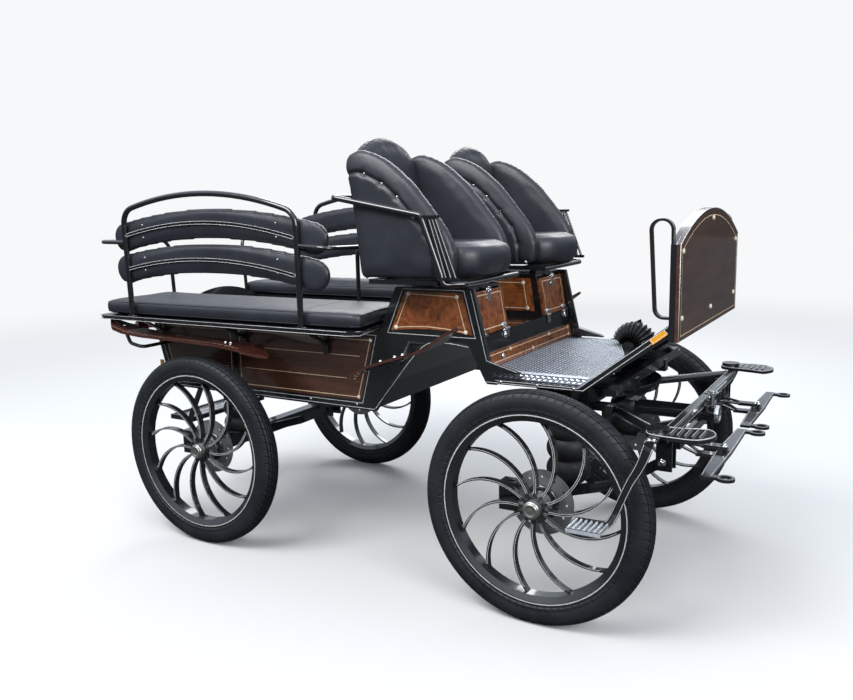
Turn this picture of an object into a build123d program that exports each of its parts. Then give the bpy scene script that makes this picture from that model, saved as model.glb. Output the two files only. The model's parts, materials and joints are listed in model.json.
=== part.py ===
"""Four wheel horse drawn wagonette with air suspension and a turntable front carriage.

Millimetres, +X forward, +Y to the left, +Z up, origin on the ground at the middle of the
overall box. Places along the length are taken from the two axles, heights from the ground.
"""

import os
from math import atan2, cos, degrees, hypot, radians, sin

from build123d import *

os.makedirs("parts", exist_ok=True)

# Driving sizes of the carriage
wheelbase = 1595.0
track = 1290.0
front_axle_x = 765.0
rear_axle_x = front_axle_x - wheelbase
wheel_radius = 425.0

# Wheels
tyre_width = 82.0
bead_radius = wheel_radius - 83.0
rim_edge_radius = wheel_radius - 73.0
rim_inner_radius = wheel_radius - 109.0
rim_width = 68.0
rim_wall = 6.0
spoke_count = 12
spoke_width = 9.0
spoke_depth = 26.0
spoke_swirl = 26.0
spoke_start = -14.0
hub_ring_radius = 37.0
hub_radius = 31.0
hub_cap_radius = 32.0
hub_outer = 36.0
disc_radius = 120.0
disc_thickness = 6.0
disc_inset = 66.0
spindle_radius = 15.0
spindle_gap = 0.5

# Side frames, floor and panels
body_half = 480.0
frame_plate = 20.0
frame_bar = 34.0
floor_z = wheel_radius + 230.0
waist_z = floor_z + 330.0
box_floor_z = floor_z + 325.0
seat_deck_z = floor_z + 510.0
sheet = 12.0
panel_thickness = 10.0
panel_gap = 1.0
footboard_z = floor_z + 195.0
tread_sheet = 4.5
tread_top_z = footboard_z + 5.0
tread_half = 436.0
rail_top_z = footboard_z - 17.0
rail_bend_x = front_axle_x + 100.0
toe_start_x = front_axle_x + 132.0
toe_slope = 0.77

# Box under the driver's seats
aisle_half = 187.0
hatch_edge = 6.0
hatch_lean = 10.0
hatch_thickness = 12.0
hatch_gap = 1.0
hinge_radius = 6.0

# Dash
dash_x = front_axle_x + 439.0
dash_half = body_half + 6.0
dash_bottom_z = footboard_z + 164.0
dash_spring_z = dash_bottom_z + 320.0
dash_apex_z = dash_spring_z + 111.0
dash_board = 12.0
dash_ring_depth = 20.0
dash_ring_width = 24.0

# Benches and backrests
bench_rear_x = front_axle_x - 2135.0
bench_front_x = front_axle_x - 668.0
bench_inner = 262.0
bench_outer = 694.0
bench_deck_z = waist_z + 7.0
bench_deck = 20.0
cushion_height = 66.0
cushion_gap = 0.6
hoop_y = 682.0
cushion_outer = 666.0
hoop_tube = 12.0
hoop_rear_x = front_axle_x - 1935.0
hoop_front_x = front_axle_x - 972.0
hoop_corner_z = bench_deck_z + 482.0
hoop_apex_z = bench_deck_z + 550.0
slat_height = 132.0
slat_thickness = 42.0

# Driver's seats
seat_inner = 120.0
seat_outer = 618.0
seat_base_z = seat_deck_z + 41.0
seat_wing = 62.0
seat_back = 70.0
seat_cushion_height = 130.0

# Rear door and step
rear_lean_run = 95.0
rear_lean_rise = 330.0
door_half = 245.0
door_thickness = 16.0
step_rear_x = front_axle_x - 2190.0
step_z = wheel_radius

# Front carriage
turntable_z = footboard_z - 88.0
turntable_radius = 255.0
turntable_gap = 2.0
frame_top_z = turntable_z - 32.0
frame_tube = 34.0
bellows_radius = 82.0
bellows_y = track / 2 - 268.0
foot_step_x = front_axle_x + 418.0
foot_step_y = track / 2 - 41.0
hanger_y = track / 2 - 175.0
socket_z = frame_top_z - 64.0
pole_bore = 24.0
swingletree_x = front_axle_x + 572.0
swingletree_y = 340.0
swingletree_z = frame_top_z - 108.0
swingletree_half = 312.0


def ribbon(points, thickness):
    """Outline of a bent flat bar of even thickness along a run of (a, b) points."""
    left = []
    right = []
    for i, (a, b) in enumerate(points):
        before = points[max(i - 1, 0)]
        after = points[min(i + 1, len(points) - 1)]
        first = (a - before[0], b - before[1]) if i else (after[0] - a, after[1] - b)
        last = (after[0] - a, after[1] - b) if i < len(points) - 1 else first
        n1 = (-first[1] / hypot(*first), first[0] / hypot(*first))
        n2 = (-last[1] / hypot(*last), last[0] / hypot(*last))
        mid = (n1[0] + n2[0], n1[1] + n2[1])
        reach = thickness / (mid[0] ** 2 + mid[1] ** 2)
        left.append((a + mid[0] * reach, b + mid[1] * reach))
        right.append((a - mid[0] * reach, b - mid[1] * reach))
    return left + right[::-1]


def side_bar(points, thickness, near, far):
    """Flat bar bent in side view, points (x, z), reaching across from y near to y far."""
    with BuildPart() as bar:
        with BuildSketch(Plane.XZ.offset(-near)):
            with BuildLine():
                Polyline(*ribbon(points, thickness), close=True)
            make_face()
        extrude(amount=near - far)
    return bar.part


def cross_bar(points, thickness, rear, front):
    """Flat bar bent in end view, points (y, z), reaching from x rear to x front."""
    with BuildPart() as bar:
        with BuildSketch(Plane.YZ.offset(rear)):
            with BuildLine():
                Polyline(*ribbon(points, thickness), close=True)
            make_face()
        extrude(amount=front - rear)
    return bar.part


def strap(points, thickness, near, far, bend):
    """Flat bar like side_bar, with its corners bent to one radius."""
    with BuildPart() as bar:
        with BuildSketch(Plane.XZ.offset(-near)):
            with BuildLine():
                FilletPolyline(*points, radius=bend)
            trace(line_width=thickness)
        extrude(amount=near - far)
    return bar.part


def tube(points, radius, bend=0.0):
    """Round bar along a run of (x, y, z) points with its corners bent to one radius."""
    with BuildPart() as bar:
        with BuildLine() as route:
            if bend and len(points) > 2:
                FilletPolyline(*points, radius=bend)
            else:
                Polyline(*points)
        with BuildSketch(Plane(origin=route.line @ 0, z_dir=route.line % 0)):
            Circle(radius)
        sweep(path=route.line, transition=Transition.RIGHT)
    return bar.part


def block(x_range, y_range, z_range):
    """Plain bar between two corners, given as (low, high) along each axis."""
    size = [high - low for low, high in (x_range, y_range, z_range)]
    middle = [(high + low) / 2 for low, high in (x_range, y_range, z_range)]
    with BuildPart() as bar:
        with Locations(Location(tuple(middle))):
            Box(*size)
    return bar.part


def ahead(distance):
    """Place along the length, measured forward from the front axle."""
    return front_axle_x + distance


def level(height):
    """Height of a point drawn over a floor at 655, carried along with the floor."""
    return floor_z - 655 + height


def finish(part, label):
    part.label = label
    export_step(part, f"parts/{label}.step")


# Wheel masters, built for the right side about the wheel centre with the outer face at -Y
with BuildSketch() as spoke_sketch:
    with BuildLine():
        hub_end = (hub_ring_radius - 3, 0)
        turn = radians(spoke_swirl)
        rim_end = ((rim_inner_radius + 3) * cos(turn), (rim_inner_radius + 3) * sin(turn))
        aim = (cos(radians(spoke_start)), sin(radians(spoke_start)))
        half = spoke_width / 2
        TangentArc((hub_end[0], half), (rim_end[0] - half * 0.5, rim_end[1] + half), tangent=aim)
        Line((rim_end[0] - half * 0.5, rim_end[1] + half), (rim_end[0] + half * 0.5, rim_end[1] - half))
        TangentArc((hub_end[0], -half), (rim_end[0] + half * 0.5, rim_end[1] - half), tangent=aim)
        Line((hub_end[0], -half), (hub_end[0], half))
    make_face()

with BuildPart() as spoked_wheel:
    with BuildSketch(Plane.XY):
        with BuildLine():
            edge = rim_width / 2
            Polyline(
                (rim_inner_radius, -edge + 12),
                (rim_inner_radius, edge - 12),
                (bead_radius - 6, edge),
                (rim_edge_radius, edge),
                (rim_edge_radius, edge - rim_wall),
                (bead_radius - 1, edge - rim_wall),
                (rim_inner_radius + rim_wall + 2, edge - 16),
                (rim_inner_radius + rim_wall + 2, -edge + 16),
                (bead_radius - 1, -edge + rim_wall),
                (rim_edge_radius, -edge + rim_wall),
                (rim_edge_radius, -edge),
                (bead_radius - 6, -edge),
                close=True,
            )
        make_face()
    revolve(axis=Axis.Y)
    with BuildSketch(Plane.XZ.offset(spoke_depth / 2 - 4)):
        with PolarLocations(0, spoke_count):
            add(spoke_sketch.sketch)
    extrude(amount=-spoke_depth)
    with BuildSketch(Plane.XZ.offset(spoke_depth / 2)):
        Circle(hub_ring_radius)
        Circle(hub_radius, mode=Mode.SUBTRACT)
    extrude(amount=-spoke_depth - 14)

with BuildPart() as tyre_ring:
    with BuildSketch(Plane.XY):
        with BuildLine():
            seat = rim_width / 2 - rim_wall - 1
            shoulder = tyre_width / 2
            Line((bead_radius, -seat), (bead_radius, seat))
            Line((bead_radius, seat), (rim_edge_radius + 1, seat))
            Line((rim_edge_radius + 1, seat), (rim_edge_radius + 1, shoulder - 7))
            ThreePointArc(
                (rim_edge_radius + 1, shoulder - 7),
                (wheel_radius - 40, shoulder),
                (wheel_radius - 13, shoulder - 10),
            )
            ThreePointArc(
                (wheel_radius - 13, shoulder - 10),
                (wheel_radius, 0),
                (wheel_radius - 13, -shoulder + 10),
            )
            ThreePointArc(
                (wheel_radius - 13, -shoulder + 10),
                (wheel_radius - 40, -shoulder),
                (rim_edge_radius + 1, -shoulder + 7),
            )
            Line((rim_edge_radius + 1, -shoulder + 7), (rim_edge_radius + 1, -seat))
            Line((rim_edge_radius + 1, -seat), (bead_radius, -seat))
        make_face()
    revolve(axis=Axis.Y)

with BuildPart() as hub_turning:
    with BuildSketch(Plane.XY):
        with BuildLine():
            bore = spindle_radius + spindle_gap
            inner = disc_inset + disc_thickness
            ThreePointArc((0, -hub_outer - 4), (hub_cap_radius * 0.5, -hub_outer - 3.2), (hub_cap_radius - 5, -hub_outer))
            ThreePointArc(
                (hub_cap_radius - 5, -hub_outer),
                (hub_cap_radius - 1.5, -hub_outer + 1.5),
                (hub_cap_radius, -hub_outer + 5),
            )
            Polyline(
                (hub_cap_radius, -hub_outer + 5),
                (hub_cap_radius, -spoke_depth / 2),
                (hub_radius, -spoke_depth / 2),
                (hub_radius, 34),
                (48, 38),
                (48, 48),
                (31, 50),
                (31, disc_inset - 8),
                (54, disc_inset - 8),
                (54, disc_inset),
                (disc_radius, disc_inset),
                (disc_radius, inner),
                (bore, inner),
                (bore, -8),
                (0, -8),
                (0, -hub_outer - 4),
            )
        make_face()
    revolve(axis=Axis.Y)
    with BuildSketch(Plane.XZ.offset(-disc_inset + 1)):
        with PolarLocations(disc_radius - 26, 12):
            Circle(5)
    extrude(amount=-disc_thickness - 2, mode=Mode.SUBTRACT)

wheel_table = [
    # name, axle x, side
    ("rear_right", rear_axle_x, -1),
    ("rear_left", rear_axle_x, 1),
    ("front_right", front_axle_x, -1),
    ("front_left", front_axle_x, 1),
]
for corner, axle_x, side in wheel_table:
    seat_at = Location((axle_x, side * track / 2, wheel_radius))
    for piece, master in (("wheel", spoked_wheel), ("tyre", tyre_ring), ("hub", hub_turning)):
        turned = master.part if side < 0 else mirror(master.part, about=Plane.XZ)
        with BuildPart() as placed:
            add(seat_at * turned)
        finish(placed.part, f"{corner}_{piece}")

# Side frames, one plate each side from the rear corner to the toe rail
rear_top_x = ahead(-2030)
rear_foot_x = rear_top_x + rear_lean_run
nose_x = ahead(-768)
post_foot_x = ahead(-272)
post_top_x = ahead(-345)
box_rear_x = ahead(-655)
rim_x = dash_x - dash_board - dash_ring_depth
rail_end_x = rim_x - 0.5
rail_end_z = rail_top_z + (rail_end_x - rail_bend_x) * toe_slope
rail_low_z = rail_top_z - 18
arch_z = level(962)
gusset_x = ahead(-130)

rear_window = [
    (rear_top_x + frame_bar + 8, waist_z - 28),
    (rear_foot_x + frame_bar - 3, floor_z + frame_bar),
    (nose_x - frame_bar * 2, floor_z + frame_bar),
    (ahead(-765), waist_z - 28),
]
strap_x = ahead(-1516)
strap_width = 22.0
box_window_low = waist_z + 4
box_window_high = seat_deck_z - 15

with BuildPart() as side_frames:
    with BuildSketch(Plane.XZ.offset(body_half)):
        with BuildLine():
            Polyline(
                (ahead(-548), level(940)),
                (ahead(-696), level(770)),
                (nose_x, floor_z - 4),
                (rear_foot_x, floor_z),
                (rear_top_x, waist_z),
                (box_rear_x - 80, waist_z),
                (box_rear_x, seat_deck_z),
                (post_top_x + 30, seat_deck_z),
                (post_foot_x + 20, tread_top_z + 38),
                (gusset_x, tread_top_z + 7),
                (gusset_x, tread_top_z + 2),
                (post_foot_x + 32, tread_top_z + 2),
                (post_foot_x + 36, rail_top_z),
                (rail_bend_x, rail_top_z),
                (rail_end_x, rail_end_z),
                (rail_end_x, rail_end_z - 44),
                (rail_bend_x + 16, rail_low_z),
                (post_foot_x + 6, rail_low_z),
                (ahead(-338), arch_z - 8),
            )
            ThreePointArc((ahead(-338), arch_z - 8), (ahead(-440), arch_z), (ahead(-548), level(940)))
        make_face()
        with BuildLine():
            Polyline(*rear_window, close=True)
        make_face(mode=Mode.SUBTRACT)
        with BuildLine():
            Line((ahead(-318), box_window_low), (ahead(-360), box_window_high))
            Line((ahead(-360), box_window_high), (ahead(-616), box_window_high))
            Line((ahead(-616), box_window_high), (ahead(-685), box_window_low))
            ThreePointArc(
                (ahead(-685), box_window_low),
                (ahead(-520), box_window_low + 14),
                (ahead(-318), box_window_low),
            )
        make_face(mode=Mode.SUBTRACT)
        with Locations((strap_x, (floor_z + waist_z) / 2)):
            Rectangle(strap_width, waist_z - floor_z - 20)
    extrude(amount=-frame_plate)
    mirror(about=Plane.XZ)
finish(side_frames.part, "side_frames")

# Brown veneer panels set in the rear openings, in two bays either side of the strap
with BuildPart() as rear_side_panels:
    with BuildSketch(Plane.XZ.offset(body_half - 4)):
        with BuildLine():
            Polyline(*rear_window, close=True)
        make_face()
        offset(amount=-panel_gap, kind=Kind.INTERSECTION, mode=Mode.REPLACE)
        with Locations((strap_x, (floor_z + waist_z) / 2)):
            Rectangle(strap_width + 2 * panel_gap, waist_z - floor_z, mode=Mode.SUBTRACT)
    extrude(amount=-panel_thickness)
    mirror(about=Plane.XZ)
finish(rear_side_panels.part, "rear_side_panels")

# Burl panels on the outer and the aisle sides of the boxes under the driver's seats
with BuildPart() as box_side_panels:
    with BuildSketch(Plane.XZ.offset(body_half - 4)):
        with BuildLine():
            Line((ahead(-318), box_window_low), (ahead(-360), box_window_high))
            Line((ahead(-360), box_window_high), (ahead(-616), box_window_high))
            Line((ahead(-616), box_window_high), (ahead(-685), box_window_low))
            ThreePointArc(
                (ahead(-685), box_window_low),
                (ahead(-520), box_window_low + 14),
                (ahead(-318), box_window_low),
            )
        make_face()
        offset(amount=-panel_gap, kind=Kind.INTERSECTION, mode=Mode.REPLACE)
    extrude(amount=-panel_thickness)
    with BuildSketch(Plane.XZ.offset(-(aisle_half - 4.5))):
        with BuildLine():
            Polyline(
                (box_rear_x + 6, box_floor_z + 22),
                (ahead(-352), box_floor_z + 22),
                (ahead(-372), seat_deck_z - 18),
                (box_rear_x + 40, seat_deck_z - 18),
                close=True,
            )
        make_face()
    extrude(amount=-4)
    mirror(about=Plane.XZ)
finish(box_side_panels.part, "box_side_panels")

# Floor sheet folded up into the bulkhead, the box floor and the riser
inner_half = body_half - frame_plate - 0.5
riser_lean = 22.0
floor_run = [
    (rear_foot_x + 22, floor_z + 12),
    (nose_x - 6, floor_z + 12),
    (ahead(-706), level(778)),
    (ahead(-558), level(954)),
    (ahead(-545), box_floor_z - sheet / 2),
    (ahead(-312), box_floor_z - sheet / 2),
    (ahead(-312) + riser_lean, footboard_z + 1.5),
]
with BuildPart() as floor_and_bulkhead:
    add(side_bar(floor_run, sheet, inner_half, -inner_half))
finish(floor_and_bulkhead.part, "floor_and_bulkhead")

# Riser strip under the hatches
riser_face_x = ahead(-312) + sheet / 2
with BuildPart() as riser_strip:
    strip_run = [(riser_face_x + 14.8, tread_top_z + 59), (riser_face_x + 25.4, tread_top_z + 2)]
    add(side_bar(strip_run, 6, inner_half - 8, 8 - inner_half))
finish(riser_strip.part, "riser_strip")

# Two hollow boxes under the driver's seats, open at the front
hatch_face_x = ahead(-318)
with BuildPart() as pedestal_boxes:
    with BuildSketch(Plane.XZ.offset(-aisle_half)):
        with BuildLine():
            Polyline(
                (box_rear_x - 66, box_floor_z + 0.5),
                (hatch_face_x, box_floor_z + 0.5),
                (hatch_face_x - 32, seat_deck_z),
                (box_rear_x + 10, seat_deck_z),
                close=True,
            )
        make_face()
    extrude(amount=aisle_half - inner_half)
    front_face = pedestal_boxes.faces().sort_by(Axis.X)[-1]
    offset(amount=-sheet, openings=front_face)
    mirror(about=Plane.XZ)
finish(pedestal_boxes.part, "pedestal_boxes")

# Hatches hinged along their lower edges, with their latches, and the fixed hinge leaves
hatch_plane_x = hatch_face_x + hatch_gap
hatch_low_z = box_floor_z + 4
hatch_high_z = seat_deck_z - 18
hinge_x = hatch_plane_x + hatch_thickness + hinge_radius - 1
hinge_z = hatch_low_z + 2


def lean_back(z):
    """Shift of the leaning hatch face at height z."""
    return -(z - box_floor_z) * 32 / (seat_deck_z - box_floor_z)


hatch_half_width = (inner_half - aisle_half) / 2 - hatch_edge
hatch_centre_y = (inner_half + aisle_half) / 2
for word, side in (("right", -1), ("left", 1)):
    middle_y = side * hatch_centre_y
    hatch_run = [
        (hatch_plane_x + lean_back(hatch_low_z) + hatch_thickness / 2, hatch_low_z),
        (hatch_plane_x + lean_back(hatch_high_z) + hatch_thickness / 2, hatch_high_z),
    ]
    with BuildPart() as hatch:
        add(side_bar(hatch_run, hatch_thickness, middle_y + hatch_half_width, middle_y - hatch_half_width))
    finish(hatch.part, f"hatch_{word}")
    latch_low = hatch_high_z - 42
    latch_run = [
        (hatch_plane_x + lean_back(latch_low) + hatch_thickness + 3.6, latch_low),
        (hatch_plane_x + lean_back(hatch_high_z) + hatch_thickness + 3.6, hatch_high_z + 2),
    ]
    catch_x = latch_run[1][0] + 5
    with BuildPart() as latch:
        add(side_bar(latch_run, 4, middle_y + 13, middle_y - 13))
        add(block((catch_x - 6, catch_x + 2), (middle_y - 16, middle_y + 16), (hatch_high_z - 12, hatch_high_z - 4)))
    finish(latch.part, f"hatch_latch_{word}")

with BuildPart() as hatch_hinges:
    for side in (-1, 1):
        for shift in (-1, 1):
            y = side * hatch_centre_y + shift * (hatch_half_width - 24)
            add(tube([(hinge_x, y - 20, hinge_z), (hinge_x, y + 20, hinge_z)], hinge_radius - 1.2))
            leaf = [(hinge_x + 1.5, hinge_z - 3), (hinge_x + 5, hinge_z - 34)]
            add(side_bar(leaf, 4, y + 14, y - 14))
finish(hatch_hinges.part, "hatch_hinges")

# Footboard: black base sheet rising into the toe board, and the folded tread plate on top
plate_half = inner_half
tread_rear_x = riser_face_x + 22.5
tread_front_x = toe_start_x - 8
with BuildPart() as toe_board:
    base_half = tread_half - 3
    base_z = (footboard_z - 6, footboard_z)
    toe_run = [
        (toe_start_x - 6, footboard_z - 3),
        (toe_start_x, footboard_z - 3),
        (rim_x - 4, footboard_z - 3 + (rim_x - 4 - toe_start_x) * toe_slope),
    ]
    add(side_bar(toe_run, 6, plate_half, -plate_half))
    add(block((riser_face_x + 8, toe_start_x - 2), (-base_half, base_half), base_z))
    add(block((ahead(-40), toe_start_x - 2), (base_half - 10, plate_half), base_z))
finish(toe_board.part, "toe_board")

with BuildPart() as footboard_plate:
    fold = [
        (-inner_half + 1.5, rail_top_z),
        (-tread_half, tread_top_z - tread_sheet / 2),
        (tread_half, tread_top_z - tread_sheet / 2),
        (inner_half - 1.5, rail_top_z),
    ]
    add(cross_bar(fold, tread_sheet, tread_rear_x, tread_front_x))
    with BuildSketch(Plane.XY.offset(rail_top_z - 20)):
        with BuildLine():
            FilletPolyline(
                (tread_front_x + 2, -40),
                (ahead(-2), 330),
                (ahead(-48), 424),
                (ahead(-200), 424 + 60),
                radius=26,
            )
            Polyline((ahead(-200), 424 + 60), (tread_front_x + 2, 424 + 60), (tread_front_x + 2, -40))
        make_face()
    extrude(amount=60, mode=Mode.SUBTRACT)
finish(footboard_plate.part, "footboard_plate")

# Pleated boot of the brake pedal: leaves that fan out about the pedal's hinge
boot_hinge_x = ahead(23)
boot_hinge_z = footboard_z - 14
boot_y = 372.0
boot_half = 52.0
boot_leaves = 10
boot_open = 128.0
boot_shut = 36.0
boot_reach = [100.0 + 3.6 * k for k in range(boot_leaves)]
boot_angles = [radians(boot_open - k * (boot_open - boot_shut) / (boot_leaves - 1)) for k in range(boot_leaves)]
with BuildPart() as brake_boot:
    with BuildSketch(Plane.XZ.offset(-(boot_y - boot_half + 9))):
        with BuildLine():
            core = [
                (boot_hinge_x + cos(a) * (r - 12), boot_hinge_z + sin(a) * (r - 12))
                for a, r in zip(boot_angles, boot_reach)
            ]
            Polyline((boot_hinge_x, boot_hinge_z), *core, close=True)
        make_face()
    extrude(amount=-2 * (boot_half - 9))
    for a, r in zip(boot_angles, boot_reach):
        leaf_plane = Plane(
            origin=(boot_hinge_x, boot_y, boot_hinge_z),
            x_dir=(0, 1, 0),
            z_dir=(-sin(a), 0, cos(a)),
        )
        tip = r if leaf_plane.y_dir.Z > 0 else -r
        with BuildSketch(leaf_plane):
            with BuildLine():
                Polyline((-boot_half, tip * 0.62), (-boot_half + 8, 0), (boot_half - 8, 0), (boot_half, tip * 0.62))
                ThreePointArc((boot_half, tip * 0.62), (0, tip), (-boot_half, tip * 0.62))
            make_face()
        extrude(amount=2.6, both=True)
    under = [(ahead(-200), footboard_z - 120), (ahead(-200), footboard_z + 0.5), (toe_start_x - 2, footboard_z + 0.5)]
    over = [(rim_x, footboard_z + 1.5 + (rim_x - toe_start_x) * toe_slope), (rim_x, footboard_z - 120)]
    with BuildSketch(Plane.XZ.offset(plate_half)):
        with BuildLine():
            Polyline(*under, *over, close=True)
        make_face()
    extrude(amount=-2 * plate_half, mode=Mode.SUBTRACT)
finish(brake_boot.part, "brake_boot")

# Dash board, its rim and posts, and the two grab handles
with BuildPart() as dash_panel:
    with BuildSketch(Plane.YZ.offset(dash_x)):
        with BuildLine():
            Polyline(
                (-dash_half, dash_spring_z),
                (-dash_half, dash_bottom_z),
                (dash_half, dash_bottom_z),
                (dash_half, dash_spring_z),
            )
            ThreePointArc((dash_half, dash_spring_z), (0, dash_apex_z), (-dash_half, dash_spring_z))
        make_face()
    extrude(amount=-dash_board)
finish(dash_panel.part, "dash_panel")

with BuildPart() as dash_frame:
    with BuildSketch(Plane.YZ.offset(rim_x)):
        for inset, how in ((0, Mode.ADD), (dash_ring_width, Mode.SUBTRACT)):
            side_y = dash_half - inset
            with BuildLine():
                Polyline(
                    (-side_y, dash_spring_z),
                    (-side_y, dash_bottom_z + inset),
                    (side_y, dash_bottom_z + inset),
                    (side_y, dash_spring_z),
                )
                ThreePointArc((side_y, dash_spring_z), (0, dash_apex_z - inset), (-side_y, dash_spring_z))
            make_face(mode=how)
    extrude(amount=dash_ring_depth)
    for side in (-1, 1):
        handle_run = [
            (rim_x + 6, dash_spring_z - 40),
            (rim_x + 4, dash_spring_z + 80),
            (rim_x - 69, dash_spring_z + 80),
            (rim_x - 49, dash_bottom_z + 78),
            (rim_x + 6, dash_bottom_z + 78),
        ]
        edge = [side * (dash_half - 26), side * dash_half]
        add(strap(handle_run, 8, max(edge), min(edge), 33))
    sill = dash_half - dash_ring_width + 1
    sill_z = footboard_z + (rim_x - toe_start_x) * toe_slope + 8
    add(block((rim_x, rim_x + dash_ring_depth), (-sill, sill), (sill_z, sill_z + 22)))
finish(dash_frame.part, "dash_frame")

# Benches: deck with an edge bar and brackets from the body sides


def bench_plan(inner, outer, inset):
    """Plan of one bench as (x, y) points, with the cut off corner beside the driver's box."""
    return [
        (bench_rear_x + inset, inner),
        (bench_rear_x + inset, outer),
        (bench_front_x - 62 - inset, outer),
        (bench_front_x - 30 - inset, outer - 40),
        (box_rear_x - 84 - inset, body_half - 20),
        (box_rear_x - 84 - inset, inner),
    ]


with BuildPart() as bench_frames:
    with BuildSketch(Plane.XY.offset(bench_deck_z)):
        with BuildLine():
            Polyline(*bench_plan(bench_inner - 10, bench_outer, 0), close=True)
        make_face()
    extrude(amount=bench_deck)
    fillet(bench_frames.edges().filter_by(Axis.Z).group_by(Axis.Y)[-1], radius=24)
    chamfer(bench_frames.faces().sort_by(Axis.Z)[0].edges(), length=9)
    for x in (ahead(-1950), ahead(-1450), ahead(-1000)):
        add(cross_bar([(body_half + 5, waist_z - 70), (610, bench_deck_z - 8), (628, bench_deck_z + 1)], 9, x - 12, x + 12))
        add(cross_bar([(body_half + 5, waist_z - 110), (body_half + 5, bench_deck_z + 1)], 8, x - 12, x + 12))
    mirror(about=Plane.XZ)
finish(bench_frames.part, "bench_frames")

with BuildPart() as bench_cushions:
    with BuildSketch(Plane.XY.offset(bench_deck_z + bench_deck + cushion_gap)):
        with BuildLine():
            Polyline(*bench_plan(bench_inner + 10, cushion_outer, 4), close=True)
        make_face()
    extrude(amount=cushion_height)
    fillet(bench_cushions.edges().group_by(Axis.Z)[-1], radius=14)
    mirror(about=Plane.XZ)
finish(bench_cushions.part, "bench_cushions")

# Backrest hoops with their slat bars, and the arm rails at both ends of each bench
hoop_foot_z = bench_deck_z + bench_deck + 0.5
arm_y = bench_inner - 1
with BuildPart() as backrest_frames:
    with BuildLine(Plane.XZ.offset(-hoop_y)) as hoop_line:
        rear_post = Line((hoop_rear_x + 10, hoop_foot_z), (hoop_rear_x, hoop_corner_z))
        crown = ThreePointArc(
            (hoop_rear_x, hoop_corner_z),
            ((hoop_rear_x + hoop_front_x) / 2, hoop_apex_z),
            (hoop_front_x, hoop_corner_z - 16),
        )
        Line((hoop_front_x, hoop_corner_z - 16), (hoop_front_x + 4, hoop_foot_z))
        fillet(hoop_line.vertices().sort_by(Axis.Z)[-2:], radius=72)
    with BuildSketch(Plane(origin=hoop_line.line @ 0, z_dir=hoop_line.line % 0)):
        Circle(hoop_tube)
    sweep(path=hoop_line.line)
    for end_z, rise in ((level(1368), 56.0), (level(1222), 50.0)):
        with BuildSketch(Plane.XZ.offset(-hoop_y + 4)):
            with BuildLine():
                middle_x = (hoop_rear_x + hoop_front_x) / 2
                for shift in (-8.0, 8.0):
                    ThreePointArc(
                        (hoop_rear_x + 4, end_z + shift),
                        (middle_x, end_z + rise + shift),
                        (hoop_front_x - 2, end_z - 8 + shift),
                    )
                Line((hoop_rear_x + 4, end_z - 8), (hoop_rear_x + 4, end_z + 8))
                Line((hoop_front_x - 2, end_z - 16), (hoop_front_x - 2, end_z))
            make_face()
        extrude(amount=8)
    mirror(about=Plane.XZ)
finish(backrest_frames.part, "backrest_frames")

# Arm rails that close both ends of each bench
with BuildPart() as arm_rails:
    rear_arm = [
        (hoop_rear_x - hoop_tube + 2.4, hoop_y, level(1340)),
        (bench_rear_x + 22, hoop_y, level(1342)),
        (bench_rear_x + 14, arm_y, level(1330)),
        (bench_rear_x + 30, arm_y, hoop_foot_z),
    ]
    front_arm = [
        (hoop_front_x + hoop_tube + 1.7, hoop_y, level(1331)),
        (ahead(-818), hoop_y + 6, level(1322)),
        (ahead(-818), arm_y, level(1312)),
        (hoop_front_x - 12, arm_y, level(1306)),
        (hoop_front_x - 12, arm_y, hoop_foot_z),
    ]
    add(tube(rear_arm, 9, 55))
    add(tube(front_arm, 9, 45))
    mirror(about=Plane.XZ)
finish(arm_rails.part, "arm_rails")

slat_y = hoop_y - hoop_tube - slat_thickness / 2 - 1
slat_table = [
    # end height, rise at the middle
    (level(1366), 54.0),
    (level(1226), 50.0),
]
with BuildPart() as backrest_slats:
    for end_z, rise in slat_table:
        with BuildLine() as slat_line:
            ThreePointArc(
                (hoop_rear_x - 34, end_z - 4),
                ((hoop_rear_x + hoop_front_x) / 2, end_z + rise),
                (hoop_front_x + 66, end_z - 8),
            )
        with BuildSketch(Plane.XZ.offset(-slat_y + slat_thickness / 2)):
            SlotArc(slat_line.edge(), slat_height)
        extrude(amount=-slat_thickness)
    fillet(backrest_slats.edges(), radius=12)
    mirror(about=Plane.XZ)
finish(backrest_slats.part, "backrest_slats")

# Driver's seats: a domed back between two swept wings, all with rolled edges, and a cushion
seat_middle = (seat_inner + seat_outer) / 2
back_low_x = ahead(-728)
back_high_x = ahead(-792)
seat_front_x = ahead(-318)
back_high_z = level(1640)
wing_roll = 20.0


def seat_side(near_y):
    """Wing at the side of a seat, from y near_y outward, with its edges rolled."""
    with BuildPart() as wing:
        with BuildSketch(Plane.XZ.offset(-near_y)):
            with BuildLine():
                Line((back_low_x, seat_base_z), (back_high_x, back_high_z))
                TangentArc((back_high_x, back_high_z), (ahead(-716), level(1682)), tangent=(-0.15, 1))
                ThreePointArc((ahead(-716), level(1682)), (ahead(-590), level(1640)), (ahead(-500), level(1560)))
                Line((ahead(-500), level(1560)), (ahead(-352), level(1390)))
                ThreePointArc((ahead(-352), level(1390)), (seat_front_x, level(1310)), (ahead(-342), seat_base_z))
                Line((ahead(-342), seat_base_z), (back_low_x, seat_base_z))
            make_face()
        extrude(amount=-seat_wing)
        fillet(wing.faces().filter_by(Axis.Y).edges(), radius=wing_roll)
    return wing.part


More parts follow.
